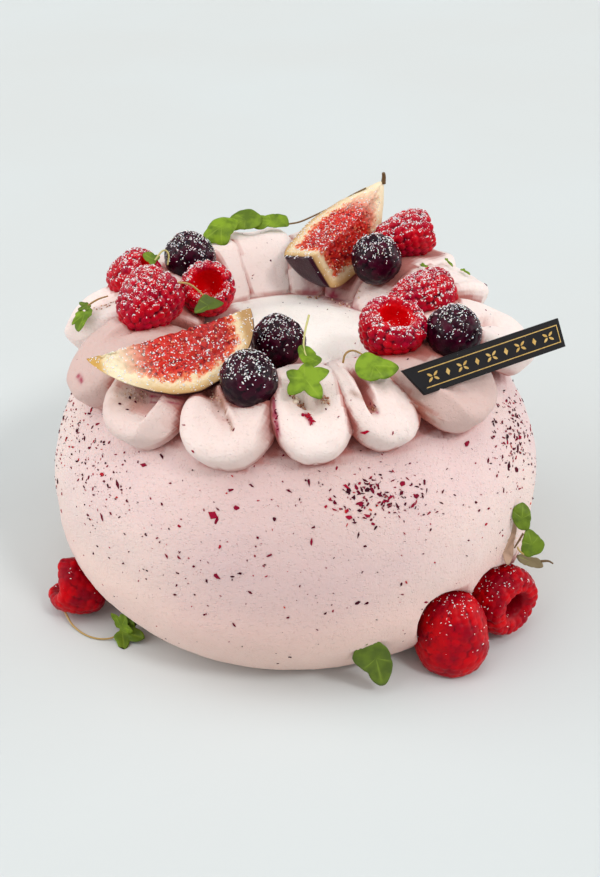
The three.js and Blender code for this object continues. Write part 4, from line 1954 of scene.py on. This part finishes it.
@dataclass
class Greenery:
    """The young leaves and stems laid among the fruit and at the foot."""

    leaves: tuple[Leaf, ...] = (
        Leaf((-26.5, 54.4, 104.2), (-33.4, 50.8, 101.5), (0, -0.6, 1), cup=-0.2, fold=-0.15,
             reaches=(1, 0.65, 0.6, 0.65, 0.7, 0.85, 0.55, 0.5, 0.8, 0.7)),
        Leaf((-18.2, 61.2, 104.6), (-24.4, 58.2, 102.8), (0, -0.7, 1), cup=-0.2, age=0.2,
             reaches=(1, 0.8, 0.65, 0.6, 0.75, 0.85, 0.85, 0.7, 0.6, 0.65)),
        Leaf((-8.8, 61.8, 103.8), (-16.4, 62.6, 104.8), (0, -0.8, 1), cup=-0.25, age=-0.3,
             reaches=(1, 0.4, 0.35, 0.4, 0.8, 0.85, 0.45, 0.35, 0.35, 0.85)),
        Leaf((4, -45.5, 102.2), (0.9, -42.2, 104), (0.1, -0.5, 1),
             ((0, 1, 40), (160, 0.9, 30)), fold=0.12,
             reaches=(1, 0.8, 0.55, 0.45, 0.8, 0.75, 0.8, 0.6, 0.55, 0.65)),
        Leaf((2.7, -56.1, 101), (7.5, -62.4, 97.3), (-0.05, -0.6, 1),
             ((0, 1, 40), (125, 0.8, 30), (-150, 0.6, 30)), cup=0.06,
             reaches=(1, 0.46, 0.88, 0.5, 0.66, 0.4, 0.62, 0.46, 0.86, 0.48)),
        Leaf((22.8, -49.1, 101.4), (30.6, -47.9, 101.2), (0.1, -0.6, 1),
             ((0, 1, 40), (60, 0.7, 30), (110, 0.7, 30)), cup=-0.12, fold=0.08,
             reaches=(1, 0.75, 0.55, 0.65, 0.75, 0.7, 0.65, 0.65, 0.45, 0.5)),
        Leaf((-27.5, -11.3, 103.6), (-31.8, -14.8, 102.2), (0.1, -0.7, 1), age=0.85, fold=0.3,
             reaches=(1, 0.6, 0.55, 0.6, 0.5, 0.6, 0.85, 0.5, 0.35, 0.4)),
        Leaf((-68.8, 0.2, 95.4), (-69.6, -6.2, 91.4), (-0.5, -0.4, 1),
             ((0, 1, 40), (40, 0.7, 30))),
        Leaf((-68, 3.4, 96.8), (-71, 1.4, 95.8), (-0.3, -0.4, 1), age=0.7),
        Leaf((-46.6, 16, 107.4), (-50.6, 18.6, 108.6), (-0.2, -0.5, 1), ((0, 1, 50),), age=0.4),
        Leaf((-57.6, -45.6, 2.6), (-55.4, -46, 9), (-0.6, -0.9, 0.4), age=0.25),
        Leaf((-57.4, -47.2, 2.2), (-49.4, -50, 1), (-0.2, -0.6, 1), age=0.3),
        Leaf((24.7, -76.4, 14.9), (27.3, -77.4, 3.7), (0.1, -1, 0.25), cup=-0.14, age=0.7,
             reaches=(1, 0.5, 0.5, 0.65, 0.65, 0.6, 0.45, 0.4, 0.4, 0.6)),
        Leaf((71.5, -44.8, 45.4), (72, -42.7, 49.9), (0.2, -0.9, 0.4), cup=-0.1, fold=0.04, age=0.45,
             reaches=(1, 0.75, 0.6, 0.6, 0.9, 0.75, 0.6, 0.6, 0.7, 0.9)),
        Leaf((74.9, -47.6, 37.3), (73.6, -45.8, 42.1), (0.2, -0.9, 0.4), cup=-0.08, fold=0.04, age=0.4,
             reaches=(1, 0.7, 0.65, 0.85, 0.8, 0.7, 0.8, 0.75, 0.6, 0.7)),
        Leaf((76.4, -40.9, 26), (71.3, -40.9, 28.5), (0.2, -0.9, 0.4), age=1.8,
             reaches=(1, 0.35, 0.25, 0.3, 0.55, 0.85, 0.4, 0.3, 0.3, 0.5)),
        Leaf((68.2, -45, 36.6), (69.2, -42, 43.6), (0.2, -0.9, 0.4), (), age=2.4,
             reaches=(1, 0.35, 0.2, 0.2, 0.35, 1, 0.35, 0.2, 0.2, 0.35)),
        Leaf((52.1, 34, 100.4), (54.2, 31.6, 98.4), (0.3, -0.4, 0.9), BLADE, waist=0.16),
        Leaf((43.2, 27.6, 101), (47.2, 26.4, 99.6), (0.2, -0.4, 0.9), BLADE, waist=0.2),
        Leaf((57.6, 31.4, 97.6), (60, 28, 97), (0.2, -0.3, 1), BLADE, waist=0.2),
    )
    stems: tuple[Stem, ...] = (
        Stem(((-2.4, 62.5, 102.4), (1.3, 66, 101.6), (5.6, 64, 104.4), (12.5, 60, 109.4),
              (20, 58.5, 114.8), (25, 58, 117.6)), tone=0.1),
        Stem(((4, -35.4, 111.4), (2.6, -39.6, 107.4), (2.2, -43.4, 103.6), (4.6, -47.4, 100.6)), tone=1),
        Stem(((14.1, -41.7, 98.6), (14.6, -40.4, 101.2), (17, -39.4, 102), (19.8, -41.4, 101.4),
              (21.6, -43.4, 100.8)), tone=0.35),
        Stem(((-36.7, -9.4, 110.6), (-33.6, -6.4, 109), (-30.2, -5.8, 105.6), (-28.4, -7.4, 104)),
             tone=0.6),
        Stem(((-68, 3.4, 96.8), (-65, 5, 98.4), (-61.6, 6.4, 98.9)), tone=0.3),
        Stem(((-46.6, 16, 107.4), (-44, 19, 110.4), (-41.9, 18.6, 109), (-42.6, 17, 105.4)),
             tone=0.9),
        Stem(((-77.6, -37.4, 2.6), (-74.6, -42.6, 0.6), (-68, -48.6, 0.5), (-61, -49.6, 0.6),
              (-57.4, -47, 2)), tone=0.55),
        Stem(((72, -46.8, 41), (70.6, -48, 38.9), (69.2, -49.1, 36.9)), radius=0.4, tone=0),
        Stem(((70.2, -48.7, 37.1), (70.8, -49.2, 35.9), (72.4, -49, 34.4)), tone=0.6),
        Stem(((80, -40.4, 25.6), (82.6, -39.8, 25.5), (84.2, -39.8, 24.3)), radius=0.5, tone=-0.1),
        Stem(((31.1, 58.5, 119), (31.3, 58.6, 121.6), (31, 58.2, 123)),
             radius=0.9, end_radius=0.6, tone=0),
    )

    def build(self, ground: Landing) -> list[Piece]:
        """Build the leaves and the stems, each kind as one piece.

        Args:
            ground: What the leaves lie on.

        Returns:
            The finished pieces.
        """
        laid = []
        for index, leaf in enumerate(self.leaves):
            patch = leaf.patch(400 + index)
            under = patch.points + unit(np.array(leaf.facing)) * leaf.thickness
            lift = ground.cleared(under, unit(np.array(leaf.facing))) - under
            points = patch.points + lift
            points[:, 2] = np.maximum(points[:, 2], 0.1)
            laid.append(Patch(points, patch.faces, patch.masks))
        blades = Patch.joined(laid)
        stalks = Patch.joined([stem.patch() for stem in self.stems])
        return [
            make_piece("leaves", blades, LEAF_GREEN.material()),
            make_piece("leaf_stems", stalks, STEM.material()),
        ]


# Loose bits -----------------------------------------------


@dataclass(frozen=True)
class Drift:
    """Flakes scattered round one place on the side of the cake."""

    azimuth: float
    height: float
    spread: float
    count: int
    size: float = 0.55


@dataclass(frozen=True)
class Heap:
    """Small bits lying along a short line on the cream; tones are their range on the finish's ramp."""

    start: Place
    end: Place
    spread: float
    count: int
    size: float
    tones: tuple[float, float]

    def bits(self, rng: Draw) -> list[tuple[Array, float, float]]:
        """Return the place, the size and the tone of each bit."""
        start, end = np.array(self.start), np.array(self.end)
        made = []
        for _ in range(self.count):
            place = start + (end - start) * rng.uniform() + rng.normal(0.0, self.spread / 2.0, 3)
            made.append((place, self.size * float(rng.uniform(0.5, 1.4)), float(rng.uniform(*self.tones))))
        return made


def leaning_out(place: Array) -> Array:
    """Return the way that leans halfway between straight up and straight out at a place."""
    return unit(unit(place * LEVEL) + UP)


@dataclass
class Crumbs:
    """Sponge crumbs in the hollows of the cream."""

    heaps: tuple[Heap, ...] = (
        Heap((-1.6, -55.4, 95.9), (2.6, -58.4, 92.4), 0.7, 40, 0.42, (0, 0.6)),
        Heap((-1.4, -56.6, 95.4), (0.4, -57.4, 94.4), 0.8, 9, 0.7, (0.75, 1)),
        Heap((7.1, -55.4, 94.8), (9.2, -58.8, 94.2), 1.2, 34, 0.4, (0.3, 0.9)),
        Heap((19.2, -55.6, 93.4), (22.8, -58.8, 92.2), 0.5, 30, 0.32, (0, 0.6)),
        Heap((-21, -57, 91), (-18.2, -63.8, 88.6), 0.3, 12, 0.24, (0, 0.2)),
        Heap((-24.8, -48, 92.4), (-21.8, -54, 92), 1.6, 24, 0.32, (0.4, 0.85)),
        Heap((3, 36.8, 86.6), (13.2, 33.4, 86), 1, 34, 0.4, (0.3, 0.9)),
        Heap((13.2, 33.4, 86), (21, 23.6, 86.4), 1, 30, 0.4, (0.3, 0.9)),
        Heap((-64, 6, 96), (-58, 12, 98), 5, 60, 0.36, (0.2, 0.8)),
        Heap((-50, -42, 88), (-46, -43, 88.6), 3, 32, 0.3, (0.4, 0.85)),
    )

    def build(self, cream: Landing) -> Piece:
        """Build the crumbs as one piece.

        Args:
            cream: What they lie on.

        Returns:
            The finished piece.
        """
        rng = np.random.default_rng(67)
        made = []
        for heap in self.heaps:
            for place, size, tone in heap.bits(rng):
                out = leaning_out(place)
                met = cream.hit(place + out * PROBE, -out)
                if met is not None:
                    heading = unit(rng.normal(size=3))
                    middle = met[0] + met[1] * size * 0.3
                    made.append(grain(middle, heading, size, size * rng.uniform(0.5, 0.9), tone, 6))
        return make_piece("crumbs", Patch.joined(made), CRUMB.material())


@dataclass
class Flakes:
    """Dried fruit flakes on the cream, thick on the shoulders and thin below."""

    drifts: tuple[Drift, ...] = (
        Drift(-21, 68, 6.5, 150, 0.58),
        Drift(-27, 60, 8, 70, 0.5),
        Drift(-158, 66, 12, 150, 0.46),
        Drift(-141, 64, 9, 70, 0.46),
        Drift(-73, 70, 5.5, 130, 0.6),
        Drift(-64, 67, 5.5, 70, 0.56),
        Drift(-88, 58, 22, 60, 0.42),
        Drift(-120, 56, 20, 80, 0.42),
        Drift(-90, 34, 34, 70, 0.34),
        Drift(-40, 50, 20, 60, 0.4),
        Drift(20, 62, 30, 130, 0.45),
        Drift(80, 66, 30, 140, 0.45),
        Drift(140, 60, 30, 140, 0.45),
        Drift(-178, 60, 20, 90, 0.45),
        Drift(60, 36, 40, 60, 0.35),
        Drift(-160, 36, 34, 50, 0.35),
    )
    single: tuple[tuple[float, float, float], ...] = (
        (-134.7, 63.4, 1.9), (-129.9, 71.1, 1.5), (-108.5, 64.5, 2.1), (-107.6, 63, 1.4),
        (-106.5, 47.1, 1.2), (-91.5, 72, 1.4), (-86.7, 59.3, 1.2), (-41.1, 73.3, 1.9),
        (-63, 65.2, 1.3), (-142.4, 49.8, 1.2), (-137.2, 52.5, 1.3), (-100.4, 72.6, 1.2),
        (-105.2, 71.1, 1.3), (-78.5, 65.4, 1.2), (-82.1, 69.8, 1.2),
    )
    named: tuple[tuple[float, float, float, float, float], ...] = (
        (-17.8, -64.5, 88.8, 0.9, 0.4), (-32.2, -61.2, 88.5, 0.8, 0.7), (-29, -66, 82, 0.8, 0.75),
        (20.2, -64.7, 88.2, 1.9, 0.9), (27.9, -64.7, 87.9, 0.8, 0.7), (-49.7, -43.8, 88, 0.9, 0.1),
        (-50, -47.5, 85.9, 0.7, 0.1), (-47.9, -44.7, 87.1, 0.8, 0.3), (-52.5, -45.9, 87, 0.6, 0.2),
        (-44, -52, 86, 0.7, 0.7), (8.8, -60, 93, 0.5, 0.4), (12, -62, 91, 0.5, 0.6),
    )
    heaps: tuple[Heap, ...] = (
        Heap((2.7, -60.6, 92.1), (4.6, -64.4, 91), 0.9, 26, 0.6, (0.72, 0.97)),
        Heap((-6.2, -57.5, 96), (-5, -65.6, 89.6), 0.5, 16, 0.5, (0.2, 0.8)),
    )
    on_petals: int = 190
    petal_size: float = 0.34
    drift_scale: float = 1.25

    def flake(self, middle: Array, normal: Array, size: float, tone: float, rng: Draw) -> Patch:
        """Return one thin ragged flake.

        Args:
            middle: Where it lies.
            normal: The way that the surface faces there.
            size: Its radius.
            tone: Its place along its finish's ramp.
            rng: Where its shape is drawn from.

        Returns:
            The flake.
        """
        lean = unit(normal + rng.normal(0.0, 0.16, 3))
        level = np.cross([0.0, 0.0, 1.0], normal) * abs(normal[0]) * 2.2
        first, second = square_to(lean, rng.normal(size=3) + level)
        corners = int(rng.integers(4, 7))
        turn = 2.0 * math.pi * (np.arange(corners) + rng.uniform(-0.25, 0.25, corners)) / corners
        reach = size * rng.uniform(0.55, 1.25, corners)
        narrow = rng.uniform(0.22, 0.7)
        flat = first * (reach * np.cos(turn))[:, None] + second * (narrow * reach * np.sin(turn))[:, None]
        rings = np.stack([middle + flat, middle + flat * 0.9 + lean * min(0.22, size * 0.4)])
        return rolled(rings, {"tone": np.full(rings.shape[:2], tone)}, middle - normal * 0.1)

    def build(self, coat: Landing, petals: Landing) -> Piece:
        """Build every flake as one piece.

        Args:
            coat: The coat of cream.
            petals: The petals and the coat together.

        Returns:
            The finished piece.
        """
        rng = np.random.default_rng(31)
        made: list[Patch] = []

        def settle(
            origin: Array, heading: Array, landing: Landing, size: float, tone: float | None = None
        ) -> None:
            """Add a flake where a ray meets the cream."""
            met = landing.hit(origin, heading)
            if met is not None and met[0][2] > 3.0:
                drawn = float(rng.beta(0.9, 1.2))
                made.append(self.flake(met[0], met[1], size, drawn if tone is None else tone, rng))

        for drift in self.drifts:
            for _ in range(drift.count):
                azimuth = drift.azimuth + rng.normal() * drift.spread
                height = drift.height + rng.normal() * drift.spread * 0.55
                size = self.drift_scale * drift.size * float(np.clip(rng.lognormal(-0.25, 0.5), 0.35, 2.2))
                out = aim(90.0, azimuth)
                settle(out * BEYOND + UP * height, -out, coat, size)
        for azimuth, height, size in self.single:
            out = aim(90.0, azimuth)
            settle(out * BEYOND + UP * height, -out, coat, size, rng.uniform(0.3, 0.8))
        for x, y, z, size, tone in self.named:
            place = np.array([x, y, z])
            out = leaning_out(place)
            settle(place + out * PROBE, -out, petals, size, tone)
        for heap in self.heaps:
            for place, size, tone in heap.bits(rng):
                out = leaning_out(place)
                settle(place + out * PROBE, -out, petals, size, tone)
        for _ in range(self.on_petals):
            azimuth, radius = rng.uniform(0.0, 360.0), rng.uniform(20.0, 80.0)
            origin = aim(90.0, azimuth) * radius + UP * OVERHEAD
            size = self.petal_size * float(np.clip(rng.lognormal(-0.2, 0.5), 0.4, 2.2))
            settle(origin, DOWN, petals, size)
        LOG.info("flakes: %d", len(made))
        return make_piece("fruit_flakes", Patch.joined(made), FLAKE.material(), smooth=False)


@dataclass
class SugarDust:
    """Fine sugar fallen on the tops of the fruit, clumped and uneven.

    grains is how many fall on full_area square millimetres of ground.
    """

    grains: int = 13000
    length: float = 0.29
    width: float = 0.145
    wander: float = 0.5
    full_area: float = 2600.0
    fall: float = 60.0

    def build(self, fruits: Sequence[tuple[Piece, float]]) -> Piece:
        """Build the sugar as one piece.

        Args:
            fruits: Each fruit with its share of the sugar, 1 for a full dusting.

        Returns:
            The finished piece.
        """
        rng = np.random.default_rng(47)
        clumps = Ripples(48, 3.2)
        made: list[Patch] = []
        for fruit, share in fruits:
            landing = Landing([fruit])
            corners = np.array([vertex.co for vertex in fruit.data.vertices]) / MM
            low, high = corners.min(axis=0), corners.max(axis=0)
            area = (high[0] - low[0]) * (high[1] - low[1])
            for _ in range(int(share * area * self.grains / self.full_area)):
                target = rng.uniform(low, high)
                down = unit(np.array([0.1, 0.25, -1.0]) + rng.normal(0.0, self.wander, 3))
                met = landing.hit(target - down * self.fall, down)
                if met is None:
                    continue
                place, normal = met
                if clumps(place) < rng.uniform(-0.8, 0.6) or normal[2] < rng.uniform(0.0, 0.75):
                    continue
                heading = square_to(normal, rng.normal(size=3))[0]
                size = float(np.clip(rng.lognormal(-0.1, 0.35), 0.5, 1.9))
                middle, tone = place + normal * 0.06, rng.uniform(0.0, 1.0)
                made.append(grain(middle, heading, self.length * size, self.width * size, tone))
        LOG.info("sugar grains: %d", len(made))
        return make_piece("sugar_dust", Patch.joined(made), SUGAR.material())


# Studio ---------------------------------------------------


@dataclass(frozen=True)
class Lamp:
    """A distant light: how far its place leans from overhead, the way it lies, its strength and softness."""

    name: str
    tilt: float
    towards: float
    strength: float
    angle: float


@dataclass
class Studio:
    """A pale floor, distant lamps and the camera; focal and shift are in the picture's own units."""

    elevation: float = 30.5
    distance: float = 460.0
    target_height: float = 45.0
    focal: float = 1333.82
    picture: tuple[int, int] = (600, 877)
    shift: tuple[float, float] = (4.46, 8.78)
    floor_reach: float = 20000.0
    lamps: tuple[Lamp, ...] = (
        Lamp("main_light", 44, -45, 0.95, 12),
        Lamp("top_light", 6, -90, 0.7, 50),
        Lamp("fill_light", 54, -166, 1, 70),
        Lamp("right_light", 74, 4, 1.05, 50),
        Lamp("left_light", 74, 180, 0.68, 50),
    )
    sky: Colour = (0.80, 0.82, 0.82)
    sky_strength: float = 0.58

    def build(self) -> None:
        """Set up the floor, the light and the camera."""
        scene = bpy.context.scene
        scene.view_settings.view_transform = "Standard"
        self.add_floor()
        self.add_light()
        self.add_camera()

    def add_floor(self) -> None:
        """Add the floor: a broad disc in rings."""
        rings = np.stack([level_ways(64) * reach for reach in np.geomspace(40.0, self.floor_reach, 10)])
        patch = rolled(rings)
        underside = len(patch.points) - 1
        patch.faces = [face for face in patch.faces if underside not in face]
        mesh = bpy.data.meshes.new("floor")
        mesh.from_pydata((patch.points[:-1] * MM).tolist(), [], patch.faces)
        mesh.materials.append(FLOOR.material())
        floor = added("floor", mesh)

    def add_light(self) -> None:
        """Add the lamps and the even sky."""
        for lamp in self.lamps:
            light = bpy.data.lights.new(lamp.name, "SUN")
            light.energy = lamp.strength
            light.angle = math.radians(lamp.angle)
            mount = added(lamp.name, light)
            mount.rotation_euler = Vector(aim(lamp.tilt, lamp.towards)).to_track_quat("Z", "Y").to_euler()
        world = bpy.data.worlds.new("sky")
        world.use_nodes = True
        back = world.node_tree.nodes["Background"]
        back.inputs["Color"].default_value = (*self.sky, 1.0)
        back.inputs["Strength"].default_value = self.sky_strength
        bpy.context.scene.world = world

    def add_camera(self) -> None:
        """Add the camera, looking down on the front of the cake."""
        camera = bpy.data.cameras.new("camera")
        long_side = max(self.picture)
        camera.sensor_width = 36.0
        camera.lens = self.focal * camera.sensor_width / long_side
        camera.shift_x, camera.shift_y = (move / long_side for move in self.shift)
        camera.clip_start, camera.clip_end = 0.01, 20.0
        down = math.radians(self.elevation)
        mount = added("camera", camera)
        mount.location = (
            0.0,
            -self.distance * math.cos(down) * MM,
            (self.target_height + self.distance * math.sin(down)) * MM,
        )
        mount.rotation_euler = (math.radians(90.0) - down, 0.0, 0.0)
        bpy.context.scene.camera = mount


# The whole cake -------------------------------------------

RASPBERRIES = (
    Raspberry("raspberry_left_back", 17.5, 17, 60, -20),
    Raspberry("raspberry_left_front", 20.8, 20, 67, 54),
    Raspberry("raspberry_left_inner", 18.6, 16, 48, -85, hollow=0.27),
    Raspberry("raspberry_right_back", 17.2, 20.5, 75, 10),
    Raspberry("raspberry_right_middle", 18, 21.5, 80, 20),
    Raspberry("raspberry_right_front", 21.2, 16.5, 20, -55),
    Raspberry("raspberry_foot_left", 18.8, 19, 69, 165, notch=0.25, relief=0.5, sugared=False),
    Raspberry("raspberry_foot_right_front", 23.4, 26.8, 176, 60, drupelet=2.8, relief=0.42,
              pushed=(56, -92), sugared=False),
    Raspberry("raspberry_foot_right_back", 24, 21.5, 90, -50, hollow=0.17, relief=0.75,
              pushed=(62, -92), sugared=False),
)
DARK_BERRIES = tuple(
    DarkBerry("dark_berry_" + name) for name in ("left_back", "middle", "front", "right_back", "right_front")
)
FIG_WEDGES = (
    FigWedge("fig_wedge_left", (-62.2, -41.5, 100), (-13.4, -34.8, 113.4), (0, 0, -1), 19.5,
             pale_tip=1, far_blunt=0.42, capped=0),
    FigWedge("fig_wedge_back", (30.8, 58.5, 120), (4.2, 25.5, 104), (-0.14, 0.51, -0.85), 17.6,
             opening=96, pale_tip=0.7, far_blunt=0.14, lean=3, shade_end=0.3),
)
# The first of these words that a fruit's name holds gives its share of the sugar.
SUGAR_SHARES = {
    "foot_left": 0.03, "foot": 0.2, "dark": 0.76, "fig_wedge_left": 0.55, "fig": 0.4, "raspberry": 0.9,
}


def sugar_share(name: str) -> float:
    """Return a fruit's share of the sugar, from its name."""
    return next(share for word, share in SUGAR_SHARES.items() if word in name)


def main() -> None:
    """Build the cake, its dressing and its studio, in order."""
    logging.basicConfig(level=logging.INFO, format="%(name)s: %(message)s")
    Studio().build()
    fruits = [berry.build(300 + 3 * index) for index, berry in enumerate(RASPBERRIES)]
    fruits += [berry.build(340 + 3 * index) for index, berry in enumerate(DARK_BERRIES)]
    fruits += [wedge.build(370 + 9 * index) for index, wedge in enumerate(FIG_WEDGES)]
    coat_skin = CreamCoat().skin([berry for berry in RASPBERRIES if "foot" in berry.node])
    petals = PetalRing().build(coat_skin, fruits)
    coat = CreamCoat().build(coat_skin, Landing([*petals, *fruits]))
    Plaque().build()
    Greenery().build(Landing([coat, *petals, *fruits]))
    cream = Landing([coat, *petals])
    Flakes().build(Landing([coat]), cream)
    Crumbs().build(cream)
    SugarDust().build([(fruit, sugar_share(fruit.name)) for fruit in fruits])


if __name__ == "__main__":
    main()
